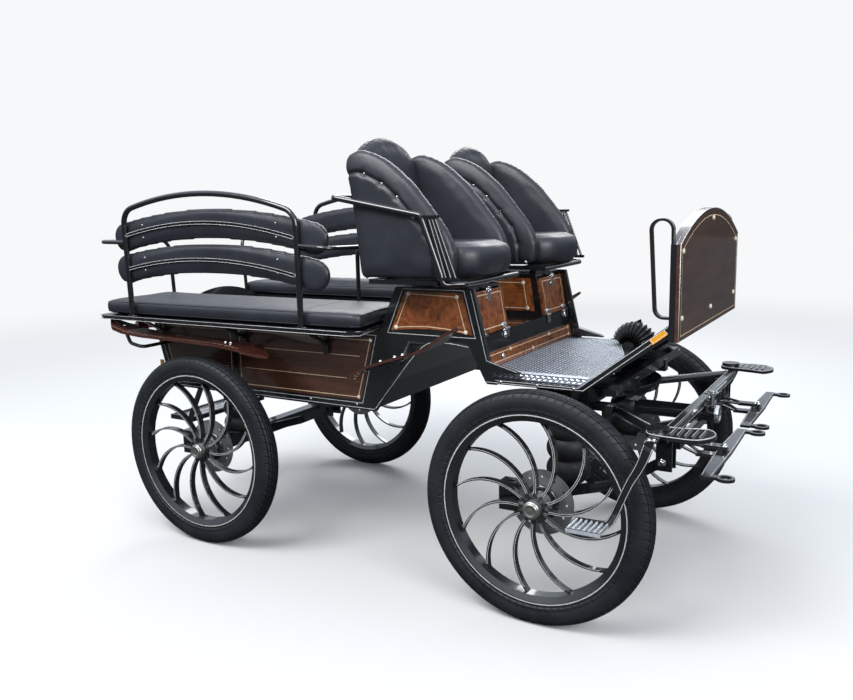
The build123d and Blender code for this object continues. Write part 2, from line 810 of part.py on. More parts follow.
def seat_back_panel():
    """Back of a seat: leaning board with a domed top."""
    with BuildPart() as back:
        with BuildSketch(Plane.XZ.offset(-seat_inner - 30)):
            with BuildLine():
                lean = (back_high_x - back_low_x) / (back_high_z - seat_base_z)
                top_z = level(1746)
                top_x = back_low_x + lean * (top_z - seat_base_z)
                Polyline(
                    (back_low_x, seat_base_z),
                    (top_x, top_z),
                    (top_x + seat_back - 8, top_z),
                    (back_low_x + seat_back, seat_base_z),
                    close=True,
                )
            make_face()
        extrude(amount=-(seat_outer - seat_inner - 60))
        with BuildSketch(Plane.YZ.offset(back_high_x - 60)):
            with BuildLine():
                Polyline(
                    (seat_inner + 30, level(1600)),
                    (seat_inner + 30, seat_base_z),
                    (seat_outer - 30, seat_base_z),
                    (seat_outer - 30, level(1600)),
                )
                ThreePointArc(
                    (seat_outer - 30, level(1600)),
                    (seat_middle, level(1746)),
                    (seat_inner + 30, level(1600)),
                )
            make_face()
        extrude(amount=300, mode=Mode.INTERSECT)
        rim = back.edges().group_by(Axis.Z)[-1] + back.edges().filter_by(GeomType.CIRCLE)
        fillet(rim.filter_by(GeomType.CIRCLE) or rim, radius=16)
    return back.part


with BuildPart() as seat_shells:
    add(seat_side(seat_inner))
    add(seat_side(seat_outer - seat_wing))
    add(seat_back_panel())
    mirror(about=Plane.XZ)
finish(seat_shells.part, "seat_shells")

cushion_rear_x = back_low_x + seat_back + 2
cushion_side_in = seat_inner + seat_wing + 1
cushion_side_out = seat_outer - seat_wing - 1
with BuildPart() as seat_cushions:
    with BuildSketch(Plane.XY.offset(seat_base_z)):
        with BuildLine():
            Line((ahead(-326), cushion_side_in), (cushion_rear_x, cushion_side_in))
            Line((cushion_rear_x, cushion_side_in), (cushion_rear_x, cushion_side_out))
            Line((cushion_rear_x, cushion_side_out), (ahead(-326), cushion_side_out))
            ThreePointArc((ahead(-326), cushion_side_out), (ahead(-246), seat_middle), (ahead(-326), cushion_side_in))
        make_face()
    extrude(amount=seat_cushion_height)
    fillet(seat_cushions.edges().group_by(Axis.Z)[-1], radius=26)
    mirror(about=Plane.XZ)
finish(seat_cushions.part, "seat_cushions")

# Flat bar base under the seats, and the tube rail that runs from the front edge round the seats
base_bar = 18.0
base_top = seat_base_z - 1
base_low = base_top - base_bar
base_z = base_top - 11
rail_y = seat_outer + 20
rail_tube = 11.0
front_rail_x = ahead(-292)
with BuildPart() as seat_rail:
    rail_route = [
        (front_rail_x, -140, base_z),
        (front_rail_x, -586, base_z),
        (ahead(-352), -rail_y, base_z),
        (ahead(-362), -rail_y, base_z + 40),
        (ahead(-440), -rail_y, level(1440)),
        (ahead(-826), -rail_y, level(1512)),
        (ahead(-826), rail_y, level(1512)),
        (ahead(-440), rail_y, level(1440)),
        (ahead(-362), rail_y, base_z + 40),
        (ahead(-352), rail_y, base_z),
        (front_rail_x, 586, base_z),
        (front_rail_x, 140, base_z),
    ]
    add(tube(rail_route, rail_tube, 18))
    for side in (-1, 1):
        for low_shift, high_shift in ((24, 19), (44, 32), (64, 45)):
            low = (ahead(-366) + low_shift, side * rail_y, base_z + 24)
            high = (ahead(-430) + high_shift, side * rail_y, level(1436))
            add(tube([low, high], 5.5))
        edge = [side * (rail_y - 9), side * (rail_y + 9)]
        add(block((ahead(-440), ahead(-368)), (min(edge), max(edge)), (level(1430), level(1440))))
        add(block((ahead(-372), ahead(-290)), (min(edge), max(edge)), (base_z + 16, base_z + 28)))
finish(seat_rail.part, "seat_rail")

with BuildPart() as seat_base_frame:
    for side in (-1, 1):
        inner = [side * 140, side * 158]
        outer_edge = [side * 592, side * 610]
        for edge, front in ((inner, front_rail_x - 12), (outer_edge, ahead(-346))):
            add(block((ahead(-690), front), (min(edge), max(edge)), (base_low, base_top)))
        for x, reach in ((ahead(-681), 600), (ahead(-610), 600), (ahead(-384), 640)):
            span = [side * 150, side * reach]
            add(block((x - 9, x + 9), (min(span), max(span)), (base_low, base_top)))
        for x in (ahead(-610), ahead(-385)):
            stand = [side * 240, side * 410]
            add(block((x - 14, x + 14), (min(stand), max(stand)), (seat_deck_z, base_low + 1)))
    for x in (ahead(-681), ahead(-610)):
        add(block((x - 9, x + 9), (-145, 145), (base_low, base_top)))
finish(seat_base_frame.part, "seat_base_frame")

# Rear end: sloped frame and panels either side of the rear door
slope = hypot(rear_lean_run, rear_lean_rise)
rear_plane = Plane(
    origin=(rear_foot_x, 0, floor_z),
    x_dir=(0, -1, 0),
    z_dir=(-rear_lean_rise / slope, 0, -rear_lean_run / slope),
)
panel_low = 8.0
panel_high = slope - 6
with BuildPart() as rear_end_frame:
    with BuildSketch(rear_plane):
        for side in (-1, 1):
            with Locations((side * (door_half + inner_half + 10) / 2, (panel_low + panel_high) / 2)):
                Rectangle(inner_half - door_half - 10, panel_high - panel_low)
                Rectangle(inner_half - door_half - 66, panel_high - panel_low - 60, mode=Mode.SUBTRACT)
        with Locations((0, panel_low + 8)):
            Rectangle(2 * inner_half, 16)
    extrude(amount=-frame_plate)
finish(rear_end_frame.part, "rear_end_frame")

with BuildPart() as rear_end_panels:
    with BuildSketch(rear_plane.offset(-3)):
        for side in (-1, 1):
            with Locations((side * (door_half + inner_half + 10) / 2, (panel_low + panel_high) / 2)):
                Rectangle(inner_half - door_half - 68, panel_high - panel_low - 62)
    extrude(amount=-panel_thickness)
finish(rear_end_panels.part, "rear_end_panels")

door_low = panel_low + 22
door_spring = slope + 34
with BuildPart() as rear_door:
    with BuildSketch(rear_plane.offset(2)):
        with BuildLine():
            Polyline((-door_half, door_spring), (-door_half, door_low), (door_half, door_low), (door_half, door_spring))
            ThreePointArc((door_half, door_spring), (0, door_spring + 58), (-door_half, door_spring))
        make_face()
    extrude(amount=-door_thickness)
finish(rear_door.part, "rear_door")

with BuildPart() as rear_door_hinges:
    for height in (70.0, slope - 70):
        at = rear_plane * Location((-(door_half + 5), height, 9))
        with Locations(at * Rot(90, 0, 0)):
            Cylinder(5, 46)
        with Locations(rear_plane * Location((-(door_half + 24), height, 3))):
            Box(34, 40, 6)
finish(rear_door_hinges.part, "rear_door_hinges")

# Rear step
with BuildPart() as rear_step:
    for side in (-1, 1):
        near = max(side * 262, side * 270)
        far = min(side * 262, side * 270)
        hanger = [(rear_foot_x + 90, floor_z - 9), (rear_foot_x - 10, floor_z - 24), (step_rear_x + 140, step_z + 8)]
        add(side_bar(hanger, 28, near, far))
    with Locations(Location((step_rear_x + 80, 0, step_z))):
        Box(160, 520, 6)
    for x in (step_rear_x + 6, step_rear_x + 154):
        add(block((x - 6, x + 6), (-270, 270), (step_z - 12, step_z + 12)))
    for side in (-1, 1):
        y = side * 266
        add(block((step_rear_x, step_rear_x + 160), (y - 4, y + 4), (step_z - 12, step_z + 12)))
finish(rear_step.part, "rear_step")

# Mudguards: leaf shaped boards, curved in side view and pointed in plan
guard_width = 128.0
guard_board = 10.0


def leaf(points, middle_y, width):
    """Curved board along (x, z) points, cut in plan to a leaf with rounded ends."""
    board = side_bar(points, guard_board, middle_y + width / 2, middle_y - width / 2)
    start = min(x for x, z in points)
    end = max(x for x, z in points)
    with BuildPart() as outline:
        with BuildSketch(Plane.XY.offset(floor_z - 55)):
            with BuildLine():
                for bulge in (-1, 1):
                    ThreePointArc(
                        (start - 4, middle_y),
                        (start + 46, middle_y + bulge * width * 0.36),
                        (start + (end - start) * 0.3, middle_y + bulge * width * 0.5),
                    )
                    Line(
                        (start + (end - start) * 0.3, middle_y + bulge * width * 0.5),
                        (end - (end - start) * 0.3, middle_y + bulge * width * 0.5),
                    )
                    ThreePointArc(
                        (end - (end - start) * 0.3, middle_y + bulge * width * 0.5),
                        (end - 46, middle_y + bulge * width * 0.36),
                        (end + 4, middle_y),
                    )
            make_face()
        extrude(amount=700)
    return board & outline.part


rear_guard_run = [
    (ahead(-2112), level(984)),
    (ahead(-2060), level(958)),
    (ahead(-1980), level(938)),
    (ahead(-1860), level(928)),
    (ahead(-1600), level(922)),
    (ahead(-1400), level(916)),
    (ahead(-1280), level(902)),
    (ahead(-1180), level(872)),
]
front_guard_run = [
    (ahead(-800), level(806)),
    (ahead(-740), level(842)),
    (ahead(-660), level(882)),
    (ahead(-560), level(915)),
    (ahead(-460), level(944)),
    (ahead(-400), level(972)),
    (ahead(-350), level(1010)),
    (ahead(-300), level(1042)),
]
guard_y = track / 2
with BuildPart() as mudguards:
    for run, y in ((rear_guard_run, guard_y), (front_guard_run, guard_y - 20)):
        add(leaf(run, y, guard_width))
        add(leaf(run, -y, guard_width))
finish(mudguards.part, "mudguards")

with BuildPart() as mudguard_brackets:
    for side in (-1, 1):
        rear_low = [
            (ahead(-2030), side * guard_y, level(941)),
            (ahead(-2000), side * guard_y, level(880)),
            (ahead(-1925), side * guard_y, level(866)),
            (ahead(-1925), side * (body_half - 2), level(866)),
        ]
        add(tube(rear_low, 8, 26))
        add(tube([(ahead(-2064), side * guard_y, level(960)), (ahead(-2078), side * (bench_outer - 30), bench_deck_z + 2)], 8))
        add(tube([(ahead(-1380), side * guard_y, level(906)), (ahead(-1380), side * (body_half - 2), level(880))], 8))
        add(tube([(ahead(-540), side * (guard_y - 20), level(914)), (ahead(-600), side * (body_half - 2), level(945))], 8))
        add(tube([(ahead(-640), side * (guard_y - 20), level(882)), (ahead(-640), side * (body_half - 2), level(862))], 8))
    for neighbour in (mudguards, side_frames, bench_frames):
        add(neighbour.part, mode=Mode.SUBTRACT)
finish(mudguard_brackets.part, "mudguard_brackets")

# Lamps and reflectors
with BuildPart() as side_reflectors:
    lamp_mid = rail_end_z - (rail_end_x - ahead(388)) * toe_slope - 17
    for side in (-1, 1):
        y_out = side * (body_half + 3.2)
        y_in = side * (body_half + 0.2)
        run = [(ahead(350), lamp_mid - 38 * toe_slope), (ahead(399), lamp_mid + 11 * toe_slope)]
        add(side_bar(run, 19, max(y_out, y_in), min(y_out, y_in)))
        add(block((rear_top_x + 34, rear_top_x + 58), (min(y_out, y_in), max(y_out, y_in)), (level(742), level(776))))
finish(side_reflectors.part, "side_reflectors")

lamp_y = body_half + 22
lamp_z = level(936)
with BuildPart() as rear_lamps:
    for side in (-1, 1):
        with Locations(Location((rear_top_x - 52, side * lamp_y, lamp_z), (0, 90, 0))):
            Cylinder(34, 26)
            fillet(rear_lamps.faces().sort_by(Axis.X)[0].edges(), radius=8)
        add(block((rear_top_x - 44, rear_top_x + 24), (min(side * 481, side * (lamp_y + 8)), max(side * 481, side * (lamp_y + 8))), (lamp_z - 4, lamp_z + 4)))
finish(rear_lamps.part, "rear_lamps")

# Rear axle: beam, spindles, trailing arms, hangers and brake calipers
axle_half = track / 2 - 145.0
beam = 56.0


def caliper(axle_x, side):
    """Brake caliper that straddles the disc behind the hub."""
    disc_y = track / 2 - disc_inset - disc_thickness / 2
    jaw = disc_thickness / 2 + 5
    near = side * (disc_y - jaw - 26)
    far = side * (disc_y + jaw + 16)
    body = block((axle_x - 158, axle_x - 92), (min(near, far), max(near, far)), (wheel_radius - 44, wheel_radius + 62))
    slot_near = side * (disc_y - jaw)
    slot_far = side * (disc_y + jaw)
    slot = block(
        (axle_x - disc_radius - 8, axle_x),
        (min(slot_near, slot_far), max(slot_near, slot_far)),
        (wheel_radius - 120, wheel_radius + 140),
    )
    return body - slot


def spindle(axle_x, side):
    """Stub on which a wheel turns, from the beam end out into the hub."""
    return tube(
        [
            (axle_x, side * (axle_half - 10), wheel_radius),
            (axle_x, side * (track / 2 + 4), wheel_radius),
        ],
        spindle_radius,
    )


arm_y = 300.0
with BuildPart() as rear_axle:
    add(block((rear_axle_x - beam / 2, rear_axle_x + beam / 2), (-axle_half, axle_half), (wheel_radius - beam / 2, wheel_radius + beam / 2)))
    for side in (-1, 1):
        add(spindle(rear_axle_x, side))
        add(caliper(rear_axle_x, side))
        reach = [side * (axle_half - 60), side * (axle_half + 50)]
        add(block((rear_axle_x - 150, rear_axle_x - 20), (min(reach), max(reach)), (wheel_radius - 16, wheel_radius + 16)))
        y = side * arm_y
        add(side_bar([(rear_axle_x, wheel_radius), (rear_axle_x + 300, wheel_radius + 92), (rear_axle_x + 462, floor_z - 67)], 34, y + 18, y - 18))
        add(tube([(rear_axle_x + 462, y - 40, floor_z - 67), (rear_axle_x + 462, y + 40, floor_z - 67)], 9))
        add(block((rear_axle_x + 430, rear_axle_x + 494), (y - 34, y - 22), (floor_z - 95, floor_z + 5)))
        add(block((rear_axle_x + 430, rear_axle_x + 494), (y + 22, y + 34), (floor_z - 95, floor_z + 5)))
        pad = side * bellows_y
        add(block((rear_axle_x - 70, rear_axle_x + 70), (pad - 60, pad + 60), (wheel_radius + beam / 2 - 4, wheel_radius + beam / 2 + 6)))
finish(rear_axle.part, "rear_axle")


def bellows(low, high, folds):
    """Air spring about the Z axis with bulging folds between its end plates."""
    pitch = (high - low) / folds
    with BuildPart() as spring:
        with BuildSketch(Plane.XZ):
            with BuildLine():
                Line((0, low), (bellows_radius - 18, low))
                for k in range(folds):
                    z = low + k * pitch
                    ThreePointArc(
                        (bellows_radius - 18, z),
                        (bellows_radius, z + pitch / 2),
                        (bellows_radius - 18, z + pitch),
                    )
                Line((bellows_radius - 18, high), (0, high))
                Line((0, high), (0, low))
            make_face()
        revolve(axis=Axis.Z)
    return spring.part


bellows_low = wheel_radius + beam / 2 + 6
with BuildPart() as rear_bellows:
    for side in (-1, 1):
        add(Location((rear_axle_x, side * bellows_y, 0)) * bellows(bellows_low, floor_z + 6, 3))
finish(rear_bellows.part, "rear_bellows")

# Fixed half of the turntable with the bearers under the footboard
ring_section = 46.0
with BuildPart() as turntable_upper:
    with BuildSketch(Plane.XY.offset(turntable_z)):
        with Locations((front_axle_x, 0)):
            Circle(turntable_radius)
            Circle(turntable_radius - ring_section, mode=Mode.SUBTRACT)
            Rectangle(2 * turntable_radius - 20, 90)
            Circle(26, mode=Mode.SUBTRACT)
    extrude(amount=16)
    for side in (-1, 1):
        y = side * 205
        add(block((ahead(-268), ahead(230)), (y - 22, y + 22), (turntable_z + 16, footboard_z - 24)))
    for x in (ahead(-252), ahead(-20), ahead(206)):
        add(block((x - 20, x + 20), (20 - tread_half, tread_half - 20), (footboard_z - 44, footboard_z - 6.5)))
        add(block((x - 20, x + 20), (-inner_half, inner_half), (footboard_z - 44, rail_top_z - 5)))
finish(turntable_upper.part, "turntable_upper")

# Front carriage: lower ring, frame, axle, bellows, steps and draught gear
lower_top = turntable_z - turntable_gap
with BuildPart() as turntable_lower:
    with BuildSketch(Plane.XY.offset(lower_top - 16)):
        with Locations((front_axle_x, 0)):
            Circle(turntable_radius - 8)
            Circle(turntable_radius - ring_section + 4, mode=Mode.SUBTRACT)
            Rectangle(2 * turntable_radius - 40, 90)
    extrude(amount=16)
    with Locations(Location((front_axle_x, 0, turntable_z + 9))):
        Cylinder(25.6, 26)
finish(turntable_lower.part, "turntable_lower")

frame_mid = frame_top_z - frame_tube / 2
rear_bar_x = ahead(150)
front_bar_x = ahead(424)
with BuildPart() as front_frame:
    for x in (ahead(-160), ahead(30)):
        add(block((x - 22, x + 22), (-hanger_y, hanger_y), (frame_mid - 15, lower_top - 16)))
    add(block((rear_bar_x - 15, rear_bar_x + 15), (-300, 300), (frame_mid - 15, frame_mid + 15)))
    add(block((front_bar_x - 15, front_bar_x + 15), (14 - foot_step_y, foot_step_y - 14), (frame_mid - 15, frame_mid + 15)))
    for side in (-1, 1):
        add(block((ahead(-182), rear_bar_x), (min(side * 230, side * 262), max(side * 230, side * 262)), (frame_mid - 15, frame_mid + 15)))
        add(tube([(rear_bar_x - 6, side * 258, frame_mid), (front_bar_x, side * (foot_step_y - 38), frame_mid)], 15))
        y = side * hanger_y
        add(block((front_bar_x - 44, front_bar_x + 10), (y - 30, y - 20), (frame_mid - 138, frame_mid)))
        add(block((front_bar_x - 44, front_bar_x + 10), (y + 20, y + 30), (frame_mid - 138, frame_mid)))
        for inner, outer in ((20, 36), (-36, -20)):
            add(tube([(front_bar_x - 22, y + inner, frame_mid - 109), (front_bar_x - 22, y + outer, frame_mid - 109)], 9))
finish(front_frame.part, "front_frame")

with BuildPart() as front_axle:
    add(block((front_axle_x - beam / 2, front_axle_x + beam / 2), (-axle_half, axle_half), (wheel_radius - beam / 2, wheel_radius + beam / 2)))
    for side in (-1, 1):
        add(spindle(front_axle_x, side))
        add(caliper(front_axle_x, side))
        reach = [side * (axle_half - 60), side * (axle_half + 50)]
        add(block((front_axle_x - 150, front_axle_x - 20), (min(reach), max(reach)), (wheel_radius - 16, wheel_radius + 16)))
        y = side * hanger_y
        add(side_bar([(front_axle_x, wheel_radius), (front_axle_x + 240, wheel_radius + 70), (front_bar_x - 22, frame_mid - 109)], 32, y + 17, y - 17))
        pad = side * bellows_y
        add(block((front_axle_x - 60, front_axle_x + 80), (pad - 60, pad + 60), (wheel_radius + beam / 2 - 4, wheel_radius + beam / 2 + 6)))
finish(front_axle.part, "front_axle")

with BuildPart() as front_bellows:
    for side in (-1, 1):
        add(Location((ahead(24), side * bellows_y, 0)) * bellows(bellows_low, frame_mid - 15, 3))
finish(front_bellows.part, "front_bellows")

# Sole shaped foot plates at the front corners and the hanging side steps
sole_z = frame_top_z + 1
with BuildPart() as foot_plates:
    for side in (-1, 1):
        with BuildSketch(Plane.XY.offset(sole_z)):
            with BuildLine():
                ThreePointArc(
                    (ahead(400), side * (foot_step_y + 51)),
                    (ahead(372), side * foot_step_y),
                    (ahead(400), side * (foot_step_y - 51)),
                )
                ThreePointArc(
                    (ahead(400), side * (foot_step_y - 51)),
                    (ahead(480), side * (foot_step_y - 64)),
                    (ahead(560), side * (foot_step_y - 84)),
                )
                ThreePointArc(
                    (ahead(560), side * (foot_step_y - 84)),
                    (ahead(592), side * (foot_step_y - 14)),
                    (ahead(552), side * (foot_step_y + 60)),
                )
                ThreePointArc(
                    (ahead(552), side * (foot_step_y + 60)),
                    (ahead(480), side * (foot_step_y + 64)),
                    (ahead(400), side * (foot_step_y + 51)),
                )
            make_face()
        extrude(amount=12)
        for k in range(5):
            x = ahead(460) + 23 * k
            add(block((x - 3, x + 3), (min(side * (foot_step_y - 56), side * (foot_step_y + 44)), max(side * (foot_step_y - 56), side * (foot_step_y + 44))), (sole_z + 11, sole_z + 17)))
        with Locations(Location((foot_step_x - 6, side * foot_step_y, sole_z + 18))):
            Cylinder(36, 14)
finish(foot_plates.part, "foot_plates")

step_y = track / 2 + tyre_width / 2 + 38
step_top_z = level(446)
step_bars = 7
with BuildPart() as side_steps:
    for side in (-1, 1):
        arm = [
            (side * (foot_step_y + 36), sole_z - 6),
            (side * (step_y - 26), sole_z - 8),
            (side * step_y, sole_z - 44),
        ]
        add(cross_bar(arm, 8, ahead(400), ahead(436)))
        near = max(side * (step_y - 4), side * (step_y + 4))
        far = min(side * (step_y - 4), side * (step_y + 4))
        leg = [(ahead(418), sole_z - 34), (ahead(408), sole_z - 62), (ahead(306), step_top_z - 3)]
        add(strap(leg, 27, near, far, 20))
        tread_y = [side * (step_y - 12), side * (step_y + 98)]
        x_low = ahead(180)
        x_high = ahead(294)
        add(block((x_low, x_high + 10), (min(side * (step_y - 12), side * (step_y + 4)), max(side * (step_y - 12), side * (step_y + 4))), (step_top_z - 16, step_top_z)))
        add(block((x_low, x_high), (min(side * (step_y + 90), side * (step_y + 98)), max(side * (step_y + 90), side * (step_y + 98))), (step_top_z - 14, step_top_z)))
        for k in range(step_bars):
            x = x_low + 4 + k * (x_high - x_low - 8) / (step_bars - 1)
            add(block((x - 4, x + 4), (min(tread_y), max(tread_y)), (step_top_z - 9, step_top_z + 1)))
finish(side_steps.part, "side_steps")

# Pole socket with its chrome locking pin
with BuildPart() as pole_socket:
    with BuildSketch(Plane.YZ.offset(rear_bar_x + 16)):
        with Locations((0, socket_z)):
            Circle(pole_bore + 6)
            Circle(pole_bore, mode=Mode.SUBTRACT)
    extrude(amount=front_bar_x + 60 - rear_bar_x - 16)
    for x in (rear_bar_x + 24, front_bar_x - 2):
        add(block((x - 8, x + 8), (-40, 40), (socket_z + pole_bore + 2, frame_mid - 15)))
finish(pole_socket.part, "pole_socket")

with BuildPart() as pole_pin:
    pin_x = front_bar_x + 34
    add(tube([(pin_x, 0, socket_z + pole_bore + 6.2), (pin_x, 0, frame_top_z + 24)], 9))
    with BuildSketch(Plane.XY.offset(frame_top_z + 14)):
        with Locations((pin_x - 4, 0)):
            Circle(26)
            Circle(19, mode=Mode.SUBTRACT)
    extrude(amount=6)
finish(pole_pin.part, "pole_pin")

bar_low_z = swingletree_z + 12
with BuildPart() as draught_brackets:
    add(block((front_bar_x - 6, front_bar_x + 18), (-420, -42), (bar_low_z, bar_low_z + 30)))
    add(block((front_bar_x - 6, front_bar_x + 18), (42, 420), (bar_low_z, bar_low_z + 30)))
    for side in (-1, 1):
        for y in (side * 300, side * 400):
            add(block((front_bar_x - 6, front_bar_x + 6), (y - 8, y + 8), (bar_low_z + 2, frame_mid - 15)))
        y = side * swingletree_y
        for shift in (-14, 14):
            upper_z = swingletree_z + 16
            lower_z = swingletree_z - 16
            add(tube([(front_bar_x + 10, y + shift * 2.4, bar_low_z + 14), (swingletree_x - 66, y + shift, upper_z)], 5.5))
            add(tube([(front_bar_x - 2, y + shift * 2.4, bar_low_z + 4), (swingletree_x - 84, y + shift, lower_z)], 5.5))
        add(block((swingletree_x - 74, swingletree_x + 14), (y - 20, y + 20), (swingletree_z + 10, swingletree_z + 22)))
        add(block((swingletree_x - 92, swingletree_x + 14), (y - 20, y + 20), (swingletree_z - 22, swingletree_z - 10)))
        add(tube([(swingletree_x, y, swingletree_z - 22), (swingletree_x, y, swingletree_z + 22)], 6))
finish(draught_brackets.part, "draught_brackets")

# Swingletrees: tapered flat bars with a trace loop at each end
loop_reach = 1425.0 - swingletree_x
for word, side in (("right", -1), ("left", 1)):
    y = side * swingletree_y
    with BuildPart() as swingletree:
        with BuildSketch(Plane.XY.offset(swingletree_z - 5)):
            with BuildLine():
                Polyline(
                    (swingletree_x + 26, y),
                    (swingletree_x + 20, y + swingletree_half),
                    (swingletree_x - 14, y + swingletree_half),
                    (swingletree_x - 26, y),
                    (swingletree_x - 14, y - swingletree_half),
                    (swingletree_x + 20, y - swingletree_half),
                    close=True,
                )
            make_face()
            with Locations((swingletree_x, y)):
                Circle(6.5, mode=Mode.SUBTRACT)
            for end in (-1, 1):
                with Locations((swingletree_x + loop_reach - 28, y + end * (swingletree_half - 20))):
                    Circle(28)
                    Circle(17, mode=Mode.SUBTRACT)
                with Locations((swingletree_x + 14, y + end * (swingletree_half - 20))):
                    Rectangle(40, 26)
        extrude(amount=10)
    finish(swingletree.part, f"swingletree_{word}")
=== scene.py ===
"""Looks of the horse drawn wagonette: camera, studio, materials, upholstery and trim."""

import json
import math

import bmesh
import bpy
from mathutils import Matrix, Vector


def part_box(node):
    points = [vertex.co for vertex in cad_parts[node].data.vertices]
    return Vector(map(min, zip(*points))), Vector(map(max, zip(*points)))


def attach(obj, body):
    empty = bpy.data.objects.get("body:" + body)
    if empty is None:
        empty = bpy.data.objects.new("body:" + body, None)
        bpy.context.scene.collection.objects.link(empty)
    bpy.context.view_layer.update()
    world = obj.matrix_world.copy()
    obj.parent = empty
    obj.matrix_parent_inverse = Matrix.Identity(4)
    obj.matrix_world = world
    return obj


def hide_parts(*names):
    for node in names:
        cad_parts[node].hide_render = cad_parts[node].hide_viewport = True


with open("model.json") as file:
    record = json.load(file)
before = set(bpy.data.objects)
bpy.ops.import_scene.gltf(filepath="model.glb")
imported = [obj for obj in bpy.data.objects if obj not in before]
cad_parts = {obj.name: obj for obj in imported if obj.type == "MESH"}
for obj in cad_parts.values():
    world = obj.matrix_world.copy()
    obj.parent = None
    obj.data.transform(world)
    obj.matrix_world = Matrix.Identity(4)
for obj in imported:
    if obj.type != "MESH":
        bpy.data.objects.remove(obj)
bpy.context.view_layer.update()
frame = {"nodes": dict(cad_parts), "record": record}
nodes = frame["nodes"]

FRONT_AXLE_X = 0.765
REAR_AXLE_X = -0.830
WHEEL_Y = 0.645
WHEEL_Z = 0.425
SIDES = (-1, 1)
HANDS = ((-1, "right"), (1, "left"))
BODY = "carriage_body"


def mm(x, y, z):
    """Point in millimetres, x counted forward from the front axle."""
    return Vector((FRONT_AXLE_X + x / 1000, y / 1000, z / 1000))


def unit_circle(sides):
    """Cosine and sine of equal steps round a circle."""
    steps = [2 * math.pi * k / sides for k in range(sides)]
    return [(math.cos(a), math.sin(a)) for a in steps]


def half_ellipse(middle, base, wide, high, steps):
    """Points (u, v) over the top of an ellipse, from its low u side."""
    turns = [math.pi * k / steps for k in range(steps + 1)]
    return [(middle - wide * math.cos(a), base + high * math.sin(a)) for a in turns]


def smooth_run(points, steps, closed=False):
    """Smooth curve through a few points, with that many steps between two of them."""
    count = len(points)
    run = []
    for i in range(count if closed else count - 1):
        p0 = points[i - 1] if (i or closed) else points[i]
        p1 = points[i]
        p2 = points[(i + 1) % count]
        p3 = points[(i + 2) % count] if (closed or i + 2 < count) else p2
        for step in range(steps):
            t = step / steps
            run.append([
                0.5 * (2 * b + (c - a) * t + (2 * a - 5 * b + 4 * c - d) * t * t
                       + (3 * b - 3 * c + d - a) * t ** 3)
                for a, b, c, d in zip(p0, p1, p2, p3)
            ])
    if not closed:
        run.append(list(points[-1]))
    return run


def inset(outline, distance):
    """Outline of (u, v) points moved inward, whichever way round it runs."""
    area = sum(a[0] * b[1] - b[0] * a[1] for a, b in zip(outline, outline[1:] + outline[:1]))
    way = 1 if area > 0 else -1
    moved = []
    for i, (u, v) in enumerate(outline):
        bu, bv = outline[i - 1]
        au, av = outline[(i + 1) % len(outline)]
        d1 = math.hypot(u - bu, v - bv) or 1.0
        d2 = math.hypot(au - u, av - v) or 1.0
        mu = (bv - v) / d1 + (v - av) / d2
        mv = (u - bu) / d1 + (au - u) / d2
        reach = way * 2 * distance / max(0.5, mu * mu + mv * mv)
        moved.append((u + mu * reach, v + mv * reach))
    return moved


def add_object(name, data):
    thing = bpy.data.objects.new(name, data)
    bpy.context.scene.collection.objects.link(thing)
    return thing


